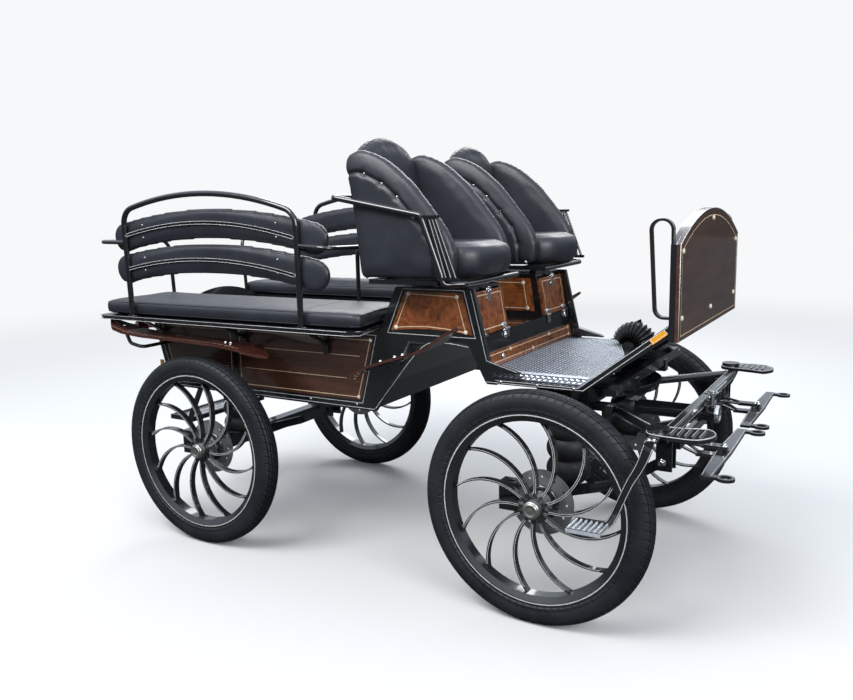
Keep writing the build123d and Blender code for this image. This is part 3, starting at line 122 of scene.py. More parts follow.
class Trim:
    """Small surface parts of one finish gathered into one mesh piece."""

    def __init__(self):
        self.vertices = []
        self.faces = []

    def add(self, vertices, faces):
        start = len(self.vertices)
        self.vertices.extend(Vector(v) for v in vertices)
        self.faces.extend(tuple(start + i for i in face) for face in faces)

    def skin(self, rows, first=False, last=False, closed=False):
        """Quads between rows of points that each run round a ring, with the ends capped or open."""
        count = len(rows[0])
        faces = []
        if first:
            faces.append(tuple(range(count))[::-1])
        if last:
            faces.append(tuple((len(rows) - 1) * count + k for k in range(count)))
        for i in range(len(rows) if closed else len(rows) - 1):
            near = i * count
            far = (i + 1) % len(rows) * count
            for k in range(count):
                n = (k + 1) % count
                faces.append((near + k, near + n, far + n, far + k))
        self.add([v for row in rows for v in row], faces)

    def line(self, points, width, normal, closed=False, lift=0.0007):
        """Flat line with mitred corners on a plane with that normal."""
        normal = Vector(normal).normalized()
        points = [Vector(p) for p in points]
        count = len(points)
        vertices = []
        for i, point in enumerate(points):
            before = points[i - 1] if (i or closed) else None
            after = points[(i + 1) % count] if (closed or i < count - 1) else None
            first = (point - before).normalized() if before is not None else (after - point).normalized()
            last = (after - point).normalized() if after is not None else first
            side = normal.cross(first) + normal.cross(last)
            side *= width / max(0.6, side.length_squared)
            vertices.extend((point + side + normal * lift, point - side + normal * lift))
        faces = []
        for i in range(count if closed else count - 1):
            j = (i + 1) % count
            faces.append((2 * i, 2 * i + 1, 2 * j + 1, 2 * j))
        self.add(vertices, faces)

    def turned(self, place, normal, profile, sides=16):
        """Small turned part, its profile given as (radius, height) from the foot up."""
        normal = Vector(normal).normalized()
        across = normal.orthogonal().normalized()
        along = normal.cross(across)
        rows = []
        for radius, height in profile:
            centre = Vector(place) + normal * height
            rows.append([centre + (across * c + along * s) * radius for c, s in unit_circle(sides)])
        self.skin(rows, last=True)

    def stud(self, place, normal, radius):
        profile = [(radius, 0), (radius * 0.92, radius * 0.25), (radius * 0.55, radius * 0.45)]
        self.turned(place, normal, profile, 14)

    def screw(self, place, normal, radius):
        """Hexagon screw head on its washer."""
        washer = [(radius * 1.5, 0), (radius * 1.5, radius * 0.18), (radius * 1.4, radius * 0.24)]
        self.turned(place, normal, washer, 16)
        head = [(radius, radius * 0.2), (radius, radius * 0.75), (radius * 0.82, radius * 0.9)]
        self.turned(place, normal, head, 6)

    def tube(self, points, radius, sides=8, closed=False):
        """Round bead along a run of points."""
        points = [Vector(p) for p in points]
        count = len(points)
        across = None
        rows = []
        for i, point in enumerate(points):
            before = points[i - 1] if (i or closed) else point
            after = points[(i + 1) % count] if (closed or i < count - 1) else point
            tangent = (after - before).normalized()
            if across is None:
                across = tangent.orthogonal().normalized()
            across = (across - tangent * across.dot(tangent)).normalized()
            up = tangent.cross(across)
            rows.append([point + (across * c + up * s) * radius for c, s in unit_circle(sides)])
        self.skin(rows, not closed, not closed, closed)

    def lozenge(self, place, along, across, normal, rise):
        """Raised bar with sloping sides: half sizes along and across."""
        along = Vector(along)
        across = Vector(across)
        normal = Vector(normal).normalized() * rise
        foot = [place - along, place - across, place + along, place + across]
        crest = [place - along * 0.45 + normal, place + along * 0.45 + normal]
        self.add(foot + crest, [(0, 1, 5, 4), (1, 2, 5), (2, 3, 4, 5), (3, 0, 4)])

    def slab(self, corners, normal, thickness):
        """Plate with a bevelled face over a polygon of points."""
        rise = Vector(normal).normalized() * thickness
        middle = sum(corners, Vector((0, 0, 0))) / len(corners)
        bevel = [c + (middle - c).normalized() * thickness * 0.4 + rise for c in corners]
        self.skin([corners, [c + rise * 0.7 for c in corners], bevel], last=True)

    def block(self, side, x_range, y_range, z_range):
        """Plain bar between two corners."""
        corners = [mm(x, side * y, z) for x in x_range for y in y_range for z in z_range]
        faces = ((0, 1, 3, 2), (4, 6, 7, 5), (0, 4, 5, 1), (2, 3, 7, 6), (0, 2, 6, 4), (1, 5, 7, 3))
        self.add(corners, faces)

    def mesh(self, name, origin=(0, 0, 0)):
        """Mesh of all that was added, its faces turned outward."""
        mesh = bpy.data.meshes.new(name)
        mesh.from_pydata([v - Vector(origin) for v in self.vertices], [], self.faces)
        builder = bmesh.new()
        builder.from_mesh(mesh)
        bmesh.ops.recalc_face_normals(builder, faces=builder.faces)
        builder.to_mesh(mesh)
        builder.free()
        return mesh

    def piece(self, name, material, slot, body=BODY, smooth=True, origin=(0, 0, 0)):
        mesh = self.mesh(name, origin)
        mesh.materials.append(material)
        mesh.polygons.foreach_set("use_smooth", [smooth] * len(mesh.polygons))
        piece = add_object(name, mesh)
        piece.location = origin
        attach(piece, body)
        return piece


# Materials

def shader_of(material):
    return material.node_tree.nodes["Principled BSDF"]


def new_material(name, colour, roughness, **sockets):
    """A Principled material with its constant values on the shader's own sockets."""
    material = bpy.data.materials.new(name)
    material.use_nodes = True
    inputs = shader_of(material).inputs
    inputs["Base Color"].default_value = (*colour, 1)
    inputs["Roughness"].default_value = roughness
    for socket, value in sockets.items():
        inputs[socket.replace("_", " ")].default_value = value
    return material


def feed(owner, socket, value):
    """Link an output to a socket, or set a plain value on it."""
    if isinstance(value, bpy.types.NodeSocket):
        owner.node_tree.links.new(value, socket)
    else:
        socket.default_value = value


def add_node(owner, kind, **settings):
    """New node of a material or the world; a setting belongs to an input or to the node itself."""
    node = owner.node_tree.nodes.new(kind)
    for key, value in settings.items():
        socket = node.inputs.get(key.replace("_", " "))
        if socket is None:
            setattr(node, key, value)
        else:
            feed(owner, socket, value)
    return node


def object_coords(material, scale=(1, 1, 1)):
    coords = add_node(material, "ShaderNodeTexCoord").outputs["Object"]
    return add_node(material, "ShaderNodeMapping", Vector=coords, Scale=scale).outputs["Vector"]


def noise(material, vector, scale, detail=4.0, rough=0.55, distortion=0.0):
    return add_node(
        material, "ShaderNodeTexNoise",
        Vector=vector, Scale=scale, Detail=detail, Roughness=rough, Distortion=distortion,
    ).outputs["Fac"]


def ramp(owner, factor, stops):
    node = add_node(owner, "ShaderNodeValToRGB", Fac=factor)
    elements = node.color_ramp.elements
    while len(elements) < len(stops):
        elements.new(0.5)
    for element, (place, colour) in zip(elements, stops):
        element.position = place
        element.color = (*colour, 1)
    return node.outputs["Color"]


def maths(material, operation, *values):
    """Result of a math node on numbers or outputs."""
    node = add_node(material, "ShaderNodeMath", operation=operation)
    for socket, value in zip(node.inputs, values):
        feed(material, socket, value)
    return node.outputs[0]


def map_range(material, factor, low, high, start=0.0, end=1.0, **settings):
    """Value carried from start..end to low..high."""
    return add_node(
        material, "ShaderNodeMapRange",
        Value=factor, From_Min=start, From_Max=end, To_Min=low, To_Max=high, **settings,
    ).outputs["Result"]


def tint(material, factor, stops):
    feed(material, shader_of(material).inputs["Base Color"], ramp(material, factor, stops))


def roughness_from(material, factor, low, high):
    feed(material, shader_of(material).inputs["Roughness"], map_range(material, factor, low, high))


def bump_from(material, heights):
    """Stack bumps, given as (height output, strength, distance in metres)."""
    below = {}
    for height, strength, distance in heights:
        node = add_node(
            material, "ShaderNodeBump", Height=height, Strength=strength, Distance=distance, **below,
        )
        below = {"Normal": node.outputs["Normal"]}
    feed(material, shader_of(material).inputs["Normal"], below["Normal"])


def paint(name, colour, roughness, coat=1.0, dust=0.02):
    material = new_material(name, colour, roughness, Coat_Weight=coat, Coat_Roughness=0.06)
    vector = object_coords(material)
    dusty = tuple(c + dust for c in colour)
    tint(material, noise(material, vector, 3.0, 5.0), [(0.35, colour), (0.8, dusty)])
    roughness_from(material, noise(material, vector, 14.0, 6.0), roughness * 0.7, roughness * 1.5)
    bump_from(material, [(noise(material, vector, 260.0, 3.0), 0.05, 0.0004)])
    return material


def leather(name, colour):
    material = new_material(name, colour, 0.42, Coat_Weight=0.12, Coat_Roughness=0.3, Specular_IOR_Level=0.5)
    vector = object_coords(material)
    cells = add_node(
        material, "ShaderNodeTexVoronoi", feature="DISTANCE_TO_EDGE", Scale=520.0, Vector=vector,
    ).outputs["Distance"]
    worn = tuple(c * 1.7 + 0.006 for c in colour)
    tint(material, noise(material, vector, 5.0, 4.0), [(0.3, colour), (0.85, worn)])
    roughness_from(material, noise(material, vector, 22.0, 5.0), 0.34, 0.55)
    creases = noise(material, vector, 16.0, 5.0, 0.6, 0.4)
    folds = noise(material, vector, 90.0, 4.0)
    bump_from(material, [(creases, 0.22, 0.004), (folds, 0.12, 0.001), (cells, 0.35, 0.0004)])
    return material


def veneer(name, dark, light, grain_scale, stretch=None):
    """Lacquered veneer: straight grain across the stretch, or clouded burl without one."""
    material = new_material(name, light, 0.22, Coat_Weight=1.0, Coat_Roughness=0.07)
    if stretch is None:
        wave = noise(material, object_coords(material), grain_scale, 9.0, 0.68, 1.6)
    else:
        wave = noise(material, object_coords(material, stretch), grain_scale, 7.0, 0.62, 0.5)
    middle = tuple((a + b) / 2 for a, b in zip(dark, light))
    tint(material, wave, [(0.32, dark), (0.5, middle), (0.66, light)])
    fine = noise(material, object_coords(material, (1.0, 1.0, 5.0)), 180.0, 4.0)
    roughness_from(material, fine, 0.16, 0.34)
    bump_from(material, [(wave, 0.06, 0.0006), (fine, 0.05, 0.0003)])
    return material


def metal(name, colour, roughness, spread=0.5, scratch=0.1):
    material = new_material(name, colour, roughness, Metallic=1.0)
    vector = object_coords(material)
    cloud = noise(material, vector, 30.0, 6.0)
    tint(material, cloud, [(0.3, tuple(c * 0.78 for c in colour)), (0.7, colour)])
    roughness_from(material, cloud, roughness * (1 - spread), roughness * (1 + spread))
    bump_from(material, [(noise(material, vector, 300.0, 4.0), scratch, 0.0003)])
    return material


def rubber(name, colour, roughness, dust):
    material = new_material(name, colour, roughness, Specular_IOR_Level=0.35)
    vector = object_coords(material)
    cloud = noise(material, vector, 7.0, 7.0, 0.65)
    tint(material, cloud, [(0.3, colour), (0.75, dust)])
    roughness_from(material, cloud, roughness * 0.85, roughness * 1.15)
    bump_from(material, [(noise(material, vector, 240.0, 5.0), 0.25, 0.0005)])
    return material


def line_finish(name, colour, roughness, metallic):
    material = new_material(name, colour, roughness, Metallic=metallic, Coat_Weight=0.4)
    cloud = noise(material, object_coords(material), 60.0, 4.0)
    tint(material, cloud, [(0.3, tuple(c * 0.72 for c in colour)), (0.65, colour)])
    roughness_from(material, cloud, roughness * 0.8, roughness * 1.3)
    return material


def plastic(name, colour):
    """Moulded lens: fine prism grid under a gloss face."""
    material = new_material(name, colour, 0.2, Coat_Weight=1.0, Coat_Roughness=0.05)
    vector = object_coords(material)
    cells = add_node(material, "ShaderNodeTexVoronoi", feature="F1", Scale=260.0, Vector=vector)
    tint(material, cells.outputs["Distance"], [(0.2, colour), (0.9, tuple(c * 0.55 for c in colour))])
    bump_from(material, [(cells.outputs["Distance"], 0.3, 0.0006)])
    return material


def tyre_rubber(sipes, slant, tread_half):
    """Tyre compound with slanted fine sipes over the tread, set out by angle about the axle."""
    material = rubber("tyre_rubber", (0.007, 0.008, 0.011), 0.52, (0.02, 0.023, 0.028))
    parts = add_node(material, "ShaderNodeSeparateXYZ", Vector=object_coords(material)).outputs
    angle = maths(material, "ARCTAN2", parts["Z"], parts["X"])
    skew = maths(material, "MULTIPLY_ADD", parts["Y"], slant, angle)
    wave = maths(material, "SINE", maths(material, "MULTIPLY", skew, sipes))
    sipe = map_range(material, wave, 1.0, 0.0, 0.72, 0.95)
    tread = maths(material, "LESS_THAN", maths(material, "ABSOLUTE", parts["Y"]), tread_half)
    cut = maths(material, "MULTIPLY", sipe, tread)
    grain = noise(material, object_coords(material), 240.0, 5.0)
    bump_from(material, [(cut, 1.0, 0.005), (grain, 0.25, 0.0005)])
    return material


# Finishes of the parts

MAHOGANY = ((0.046, 0.018, 0.011), (0.098, 0.040, 0.024), 3.4)
GRAIN_ALONG = (1.0, 6.0, 9.0)
GRAIN_ACROSS = (6.0, 1.0, 9.0)
BRIGHT_METAL = (0.74, 0.78, 0.84)

BLACK = paint("gloss_black", (0.006, 0.007, 0.009), 0.2, dust=0.006)
WHEEL_BLACK = paint("wheel_gloss_black", (0.008, 0.009, 0.012), 0.24, dust=0.012)
DISC_STEEL = metal("brake_disc_steel", (0.50, 0.50, 0.50), 0.48, 0.3)
RUBBER = rubber("bellows_rubber", (0.014, 0.015, 0.017), 0.5, (0.035, 0.035, 0.037))
LEATHER = leather("black_leather", (0.012, 0.014, 0.020))
PIPING = leather("piping_leather", (0.009, 0.010, 0.014))
DARK_VENEER = veneer("dark_veneer", *MAHOGANY, GRAIN_ALONG)
CROSS_VENEER = veneer("cross_grain_veneer", *MAHOGANY, GRAIN_ACROSS)
BURL = veneer("burl_veneer", (0.060, 0.016, 0.006), (0.40, 0.12, 0.032), 17.0)
GUARD_WOOD = veneer("guard_wood", (0.026, 0.008, 0.007), (0.085, 0.027, 0.019), 5.0, GRAIN_ALONG)
TREAD_PLATE = metal("tread_plate", (0.17, 0.19, 0.22), 0.42, 0.3)
TREAD_BARS = metal("tread_bars", BRIGHT_METAL, 0.30, 0.4, 0.2)
TREAD_EDGE = line_finish("tread_edge", BRIGHT_METAL, 0.36, 0.45)
HUB_STEEL = metal("hub_steel", (0.66, 0.66, 0.60), 0.33, 0.4)
CHROME = metal("chrome", (0.93, 0.94, 0.95), 0.17, 0.4, 0.03)
SILVER = line_finish("silver_line", (0.66, 0.67, 0.67), 0.35, 0.1)
INLAY = line_finish("inlay_line", (0.80, 0.60, 0.40), 0.4, 0.0)
CREAM = line_finish("cream_stud", (0.90, 0.80, 0.62), 0.35, 0.0)
AMBER = plastic("amber_reflector", (1.0, 0.42, 0.01))
RED_LAMP = plastic("red_lamp", (0.30, 0.006, 0.008))
TYRE = tyre_rubber(84.0, 1.6, 0.039)

FINISH = {
    "black_gloss_paint": BLACK,
    "wheel_black": WHEEL_BLACK,
    "tyre": TYRE,
    "black_rubber": RUBBER,
    "black_leather": LEATHER,
    "dark_veneer": DARK_VENEER,
    "burl_veneer": BURL,
    "guard_wood": GUARD_WOOD,
    "tread_plate": TREAD_PLATE,
    "step_steel": BLACK,
    "hub_steel": HUB_STEEL,
    "chrome": CHROME,
    "amber_reflector": AMBER,
    "red_lamp": RED_LAMP,
}
CORNERS = [
    (f"{end}_{hand}", axle_x, side)
    for end, axle_x in (("rear", REAR_AXLE_X), ("front", FRONT_AXLE_X))
    for side, hand in HANDS
]
HUB_DEPTH = 0.012

for entry in frame["record"]["subparts"]:
    finished = nodes[entry["node"]].data.materials
    finished.clear()
    finished.append(FINISH[entry["material_slot"]])
for name in ("dash_panel", "rear_end_panels", "rear_door"):
    nodes[name].data.materials[0] = CROSS_VENEER
rear_leaf = nodes["rear_door"]
rear_leaf.data.materials.append(BLACK)
for polygon in rear_leaf.data.polygons:
    if polygon.normal.x > 0.5:
        polygon.material_index = 1
for corner, axle_x, side in CORNERS:
    hub = nodes[corner + "_hub"]
    hub.data.materials.append(DISC_STEEL)
    hub_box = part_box(corner + "_hub")
    outer_y = hub_box[1][1] if side > 0 else hub_box[0][1]
    for polygon in hub.data.polygons:
        if abs((hub.matrix_world @ polygon.center).y - outer_y) > HUB_DEPTH:
            polygon.material_index = 1


# Upholstery: closed pads with rolled edges, blown up together by one short cloth simulation

FORM_GROWTH = 1.5
CLOTH_FRAMES = 20
CLOTH = {
    "quality": 4,
    "use_pressure": True,
    "uniform_pressure_force": 4.0,
    "tension_stiffness": 12.0,
    "compression_stiffness": 12.0,
    "bending_stiffness": 0.6,
}
pads = []


def settle(piece):
    """Apply every modifier of a piece to its mesh."""
    bpy.context.view_layer.update()
    graph = bpy.context.evaluated_depsgraph_get()
    mesh = bpy.data.meshes.new_from_object(piece.evaluated_get(graph))
    piece.modifiers.clear()
    piece.data = mesh


def smooth_out(piece, name, iterations):
    """Modifier that moves each point half way to the middle of its neighbours."""
    smoother = piece.modifiers.new(name, "SMOOTH")
    smoother.factor = 0.5
    smoother.iterations = iterations


def bevelled(piece, name, width):
    bevel = piece.modifiers.new(name, "BEVEL")
    bevel.width = width
    bevel.segments = 2


def pad_form(name, outline, thickness, roll, place, voxel, cap):
    """Pad over an outline of (u, v) in millimetres; place turns (u, v, depth) into a point."""
    half = thickness / 2
    layers = [
        (-half, roll), (-half + roll * 0.3, roll * 0.3), (-half + roll, 0.0),
        (half - roll, 0.0), (half - roll * 0.3, roll * 0.3), (half, roll),
    ]
    form = Trim()
    form.skin(
        [[place(u, v, depth) for u, v in inset(outline, shrink - FORM_GROWTH)] for depth, shrink in layers],
        True, True,
    )
    piece = add_object(name, form.mesh(name))
    remesh = piece.modifiers.new("even", "REMESH")
    remesh.mode = "VOXEL"
    remesh.voxel_size = voxel
    smooth_out(piece, "level_out", 7)
    settle(piece)
    pads.append((piece, cap))
    return piece


def stuff_all():
    """Run the cloth pressure on all pads at once."""
    for piece, cap in pads:
        cloth = piece.modifiers.new("stuffing", "CLOTH")
        for setting, value in CLOTH.items():
            setattr(cloth.settings, setting, value)
        cloth.settings.effector_weights.gravity = 0.0
        cloth.collision_settings.use_collision = False
        cloth.point_cache.frame_start = 1
        cloth.point_cache.frame_end = CLOTH_FRAMES
    for moment in range(1, CLOTH_FRAMES + 1):
        bpy.context.scene.frame_set(moment)
    for piece, cap in pads:
        settle(piece)
    bpy.context.scene.frame_set(1)


def blow_up():
    """Fill the pads, each point moved outward only and no further than its pad's cap."""
    before = {
        piece.name: [(v.co.copy(), v.normal.copy()) for v in piece.data.vertices] for piece, cap in pads
    }
    stuff_all()
    for piece, cap in pads:
        for vertex, (start, normal) in zip(piece.data.vertices, before[piece.name]):
            shift = vertex.co - start
            shift -= normal * min(0.0, shift.dot(normal))
            if shift.length > cap:
                shift = shift.normalized() * cap
            vertex.co = start + shift
        smooth_out(piece, "soften", 3)
        piece.modifiers.new("fine", "SUBSURF").levels = 1
        settle(piece)


def near_run(point, run):
    """Distance from (u, v) to a run of points."""
    best = math.inf
    for a, b in zip(run, run[1:]):
        du, dv = b[0] - a[0], b[1] - a[1]
        span = math.hypot(du, dv) or 1e-6
        t = max(0.0, min(1.0, ((point[0] - a[0]) * du + (point[1] - a[1]) * dv) / span ** 2))
        best = min(best, math.hypot(point[0] - a[0] - du * t, point[1] - a[1] - dv * t))
    return best


def press(piece, run, out, depth, width, dimples):
    """Sewn groove along a run of (x, z) with dimples, in the face of a pad that looks along out."""
    out = Vector(out)
    for vertex in piece.data.vertices:
        if vertex.normal.dot(out) < 0.2:
            continue
        here = ((vertex.co.x - FRONT_AXLE_X) * 1000, vertex.co.z * 1000)
        push = 0.0
        gap = near_run(here, run)
        if gap < width * 4:
            push += depth * math.exp(-((gap / width) ** 2))
        for u, v in dimples:
            span = math.hypot(here[0] - u, here[1] - v)
            if span < 60:
                push += depth * 0.7 * math.exp(-((span / (width * 1.9)) ** 2))
        vertex.co -= out * push / 1000
    piece.data.update()
    smooth_out(piece, "calm", 1)
    settle(piece)


def lay_on(pad_name, run):
    """Run of points moved onto the nearest skin of a pad."""
    pad = bpy.data.objects[pad_name]
    return [pad.closest_point_on_mesh(point)[1] for point in run]


def upholstered(piece, node, fill):
    piece.data.materials.clear()
    piece.data.materials.append(LEATHER)
    piece.data.polygons.foreach_set("use_smooth", [True] * len(piece.data.polygons))
    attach(piece, BODY)
    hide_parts(node)


WING = smooth_run([
    (-731, 1214), (-752, 1400), (-776, 1560), (-789, 1634), (-766, 1672), (-716, 1684),
    (-655, 1668), (-590, 1634), (-500, 1560), (-425, 1474), (-356, 1386), (-326, 1318),
    (-324, 1262), (-342, 1218), (-430, 1208), (-580, 1208), (-700, 1208),
], 4, True)
WING_SEAM = smooth_run([
    (-779, 1592), (-745, 1600), (-698, 1595), (-614, 1556), (-551, 1505),
    (-491, 1441), (-433, 1372), (-404, 1300), (-404, 1226),
], 5)
WING_BUTTONS = [(-698, 1595), (-620, 1557), (-556, 1507), (-491, 1441), (-433, 1374), (-402, 1300)]
DOME = [(152, 1216)] + half_ellipse(369, 1576, 217, 166, 20) + [(586, 1216)]
DOME_RIM = half_ellipse(369, 1576, 212, 162, 24)
SEAT_PLAN = smooth_run([(-329, 186), (-270, 240), (-248, 369), (-270, 498), (-329, 552)], 5) + [
    (-500, 553), (-652, 552), (-656, 369), (-652, 186), (-500, 185),
]
BENCH_PLAN = [
    (-2131, 274), (-2131, 420), (-2131, 560), (-2127, 656), (-2118, 665), (-1900, 666), (-1600, 666),
    (-1300, 666), (-1010, 666), (-740, 665), (-714, 650), (-706, 632), (-726, 540), (-743, 462),
    (-743, 360), (-745, 274), (-1000, 273), (-1300, 273), (-1600, 273), (-1900, 273),
]
SEAT_BASE = 1206
BENCH_BASE = 1012.6
SLAT_Y = 648
SLATS = (("upper", 1366, 54), ("lower", 1226, 50))
SLAT_ENDS = (-1969.0, -906.0)
SLAT_HALF = 64
SLAT_STEPS = 24


def back_place(side):
    """Places on a seat back that leans rearward."""
    def place(u, v, depth):
        lean = -(v - SEAT_BASE) * 64 / 434
        return mm(-728 + 35 + lean + depth, side * u, v)
    return place


def upright_place(middle_y):
    """Places in an upright pad: u forward, v up, depth across."""
    def place(u, v, depth):
        return mm(u, middle_y + depth, v)
    return place


def flat_place(side, middle_z):
    """Places in a cushion that lies flat: u forward, v to its side, depth up."""
    def place(u, v, depth):
        return mm(u, side * v, middle_z + depth)
    return place


def slat_height(t, end_z, rise):
    """Height of a curved slat's middle at the share t of its length."""
    return end_z - 4 - 4 * t + (rise + 4) * (1 - (2 * t - 1) ** 2)


def slat_outline(end_z, rise):
    """Outline of a curved slat with half round ends."""
    rear, fore = SLAT_ENDS
    upper = []
    outline = []
    for k in range(SLAT_STEPS + 1):
        t = k / SLAT_STEPS
        x = rear + (fore - rear) * t
        z = slat_height(t, end_z, rise)
        slope = -4 * (rise + 4) * (2 * t - 1) / (fore - rear)
        size = math.hypot(1, slope)
        upper.append((x - slope / size * SLAT_HALF, z + SLAT_HALF / size))
        outline.append((x + slope / size * SLAT_HALF, z - SLAT_HALF / size))
    for end, x, z in ((1, fore, end_z - 8), (-1, rear, end_z - 4)):
        for k in range(1, 8):
            a = -math.pi / 2 + math.pi * k / 8
            outline.append((x + end * SLAT_HALF * math.cos(a), z + end * SLAT_HALF * math.sin(a)))
        if end > 0:
            outline.extend(upper[::-1])
    return outline


wings = []
for side, hand in HANDS:
    for spot, middle_y, out in (("inner", 151, -side), ("outer", 587, side)):
        place = upright_place(side * middle_y)
        wing = pad_form(f"seat_wing_{hand}_{spot}", WING, 56, 24, place, 0.011, 0.007)
        wings.append((wing, out))
    pad_form(f"seat_back_{hand}", DOME, 60, 20, back_place(side), 0.011, 0.009)
    place = flat_place(side, SEAT_BASE + 65)
    pad_form(f"seat_cushion_{hand}", SEAT_PLAN, 118, 34, place, 0.012, 0.010)
    place = flat_place(side, BENCH_BASE + 33)
    pad_form(f"bench_cushion_{hand}", BENCH_PLAN, 62, 9, place, 0.013, 0.006)
    for spot, end_z, rise in SLATS:
        outline = slat_outline(end_z, rise)
        place = upright_place(side * SLAT_Y)
        pad_form(f"backrest_slat_{hand}_{spot}", outline, 36, 15, place, 0.010, 0.006)
blow_up()

for wing, out in wings:
    press(wing, WING_SEAM, (0, out, 0), 9.5, 6.5, WING_BUTTONS)
PAD_PARTS = (
    ("seat_cushion", "seat_cushions", 0.8),
    ("bench_cushion", "bench_cushions", 0.8),
    ("backrest_slat", "backrest_slats", 0.85),
    ("seat_", "seat_shells", 0.85),
)
for piece, cap in pads:
    node, fill = next(part[1:] for part in PAD_PARTS if piece.name.startswith(part[0]))
    upholstered(piece, node, fill)


# Seams, piping, buttons and screws of the upholstery

def upright(y, outline):
    """Points (x, z) on the upright plane at y."""
    return [mm(u, y, v) for u, v in outline]


def level(z, side, outline):
    """Points (x, y) of one side at a height."""
    return [mm(u, side * v, z) for u, v in outline]


piping = Trim()
chrome_small = Trim()
for side, hand in HANDS:
    out = (0, side, 0)
    bench = f"bench_cushion_{hand}"
    for z, shrink in ((1074, 2.0), (1019, 1.0)):
        edge = level(z, side, inset(BENCH_PLAN, shrink))
        piping.tube(lay_on(bench, edge), 0.0024, 6, True)
    seam = [mm(-985, side * 667.5, z) for z in (1020, 1035, 1050, 1070)]
    seam.extend(mm(-985, side * y, 1079.5) for y in (660, 600, 540, 480, 420, 360, 300, 278))
    piping.tube(lay_on(bench, seam), 0.0018, 6)
    for spot, end_z, rise in SLATS:
        edge = inset(slat_outline(end_z, rise), 9.0)
        for y in (627, 669):
            seam = lay_on(f"backrest_slat_{hand}_{spot}", upright(side * y, edge))
            piping.tube(seam, 0.0009, 6, True)
        for x in (-1836, -1085):
            z = slat_height((x - SLAT_ENDS[0]) / (SLAT_ENDS[1] - SLAT_ENDS[0]), end_z, rise)
            for shift in (-27, 27):
                chrome_small.screw(mm(x + 4, side * 669, z + shift), out, 0.0052)
    for spot, spot_y, way in (("inner", 120, -side), ("outer", 618, side)):
        wing = bpy.data.objects[f"seat_wing_{hand}_{spot}"]
        wing_out = Vector((0, way, 0))
        for u, v in WING_BUTTONS:
            skin = wing.ray_cast(mm(u, side * spot_y + way * 60, v), -wing_out)[1]
            chrome_small.stud(skin - wing_out * 0.0005, wing_out, 0.0050)
        chrome_small.stud(mm(-366, side * spot_y + way * 1.0, 1222), wing_out, 0.0075)
    for depth in (-20, 8):
        run = [back_place(side)(u, v, depth) for u, v in DOME_RIM]
        piping.tube(lay_on(f"seat_back_{hand}", run), 0.0016, 6)
piping.piece("upholstery_piping", PIPING, "black_leather")

# Inlay lines and corner studs
gold = Trim()
silver = Trim()
cream = Trim()


def inlaid(points, width, out, stud_radius, studs=None):
    """Closed inlay line with a cream stud at each corner, or at the first few."""
    gold.line(points, width, out, True)
    for point in points[:studs]:
        cream.stud(point, out, stud_radius)


PANEL_FACE = 476
FRAME_FACE = 480
AISLE_FACE = 182.4
FOLD_FACE = 459.8
REAR_WINDOW = [(-1988, 957), (-1904, 689), (-836, 689), (-765, 957)]
BOX_WINDOW = [(-318, 989), (-360, 1150), (-616, 1150), (-685, 989)]
REAR_PANELS = (
    [(-1970, 943), (-1893, 703), (-1543, 703), (-1543, 943)],
    [(-1489, 943), (-1489, 703), (-852, 703), (-785, 943)],
)
PANEL_RULES = ((874, -1460, -840), (778, -1460, -862), (874, -1934, -1560), (778, -1908, -1560))
BOX_PANEL = [
    (-660, 1004), (-600, 1139), (-387, 1133), (-351, 1000), (-440, 1010), (-520, 1014), (-600, 1010),
]
AISLE_PANEL = [(-600, 1127), (-405, 1127), (-385, 1014), (-628, 1014)]
ARCH_LINE = smooth_run([(-338, 946), (-440, 955), (-540, 933), (-688, 762), (-768, 662)], 4)
FRAME_LINES = (
    (inset(REAR_WINDOW, -9), 0.0024, True),
    (inset(BOX_WINDOW, -8), 0.0024, True),
    ([(-2022, 976), (-1937, 664), (-770, 660)], 0.0024, False),
    (ARCH_LINE, 0.0024, False),
    ([(-326, 1158), (-262, 900), (-140, 866)], 0.0024, False),
    ([(-268, 820), (114, 821), (404, 1044)], 0.0022, False),
    ([(-226, 829), (97, 829), (404, 1063)], 0.0022, False),
)
BULKHEAD_FOLD = [(-694, 782), (-552, 950), (-330, 964)]

for side in SIDES:
    out = (0, side, 0)
    face = side * PANEL_FACE
    for corners in REAR_PANELS:
        inlaid(upright(face, corners), 0.0032, out, 0.0075)
    for z, rear, fore in PANEL_RULES:
        gold.line([mm(rear, face, z), mm(fore, face, z)], 0.0026, out)
    inlaid(upright(face, BOX_PANEL), 0.0036, out, 0.0085, 4)
    inlaid(upright(side * AISLE_FACE, AISLE_PANEL), 0.0036, (0, -side, 0), 0.009)
    for path, width, closed in FRAME_LINES:
        silver.line(upright(side * FRAME_FACE, path), width, out, closed)

# Bulkhead and floor edge lines that show through the open arch
for side in SIDES:
    silver.line(upright(side * FOLD_FACE, BULKHEAD_FOLD), 0.002, (0, side, 0))

# Hatches: inlay frame, key plate, toggle latch and butterfly hinges
HATCH_LEAN = Vector((1, 0, 0.17))
HATCH_FRAME = [(216, 1132), (430, 1132), (430, 1003), (216, 1003)]
KEY_PLATE = [(307, 1138), (339, 1138), (335, 1162), (311, 1162)]


def on_hatch(side, y, z, lift=0.0):
    """Point on the leaning face of one side's hatch."""
    lean = -(z - 980) * 32 / 185
    return mm(-317 + 12 + lean + 0.8 + lift, side * y, z)


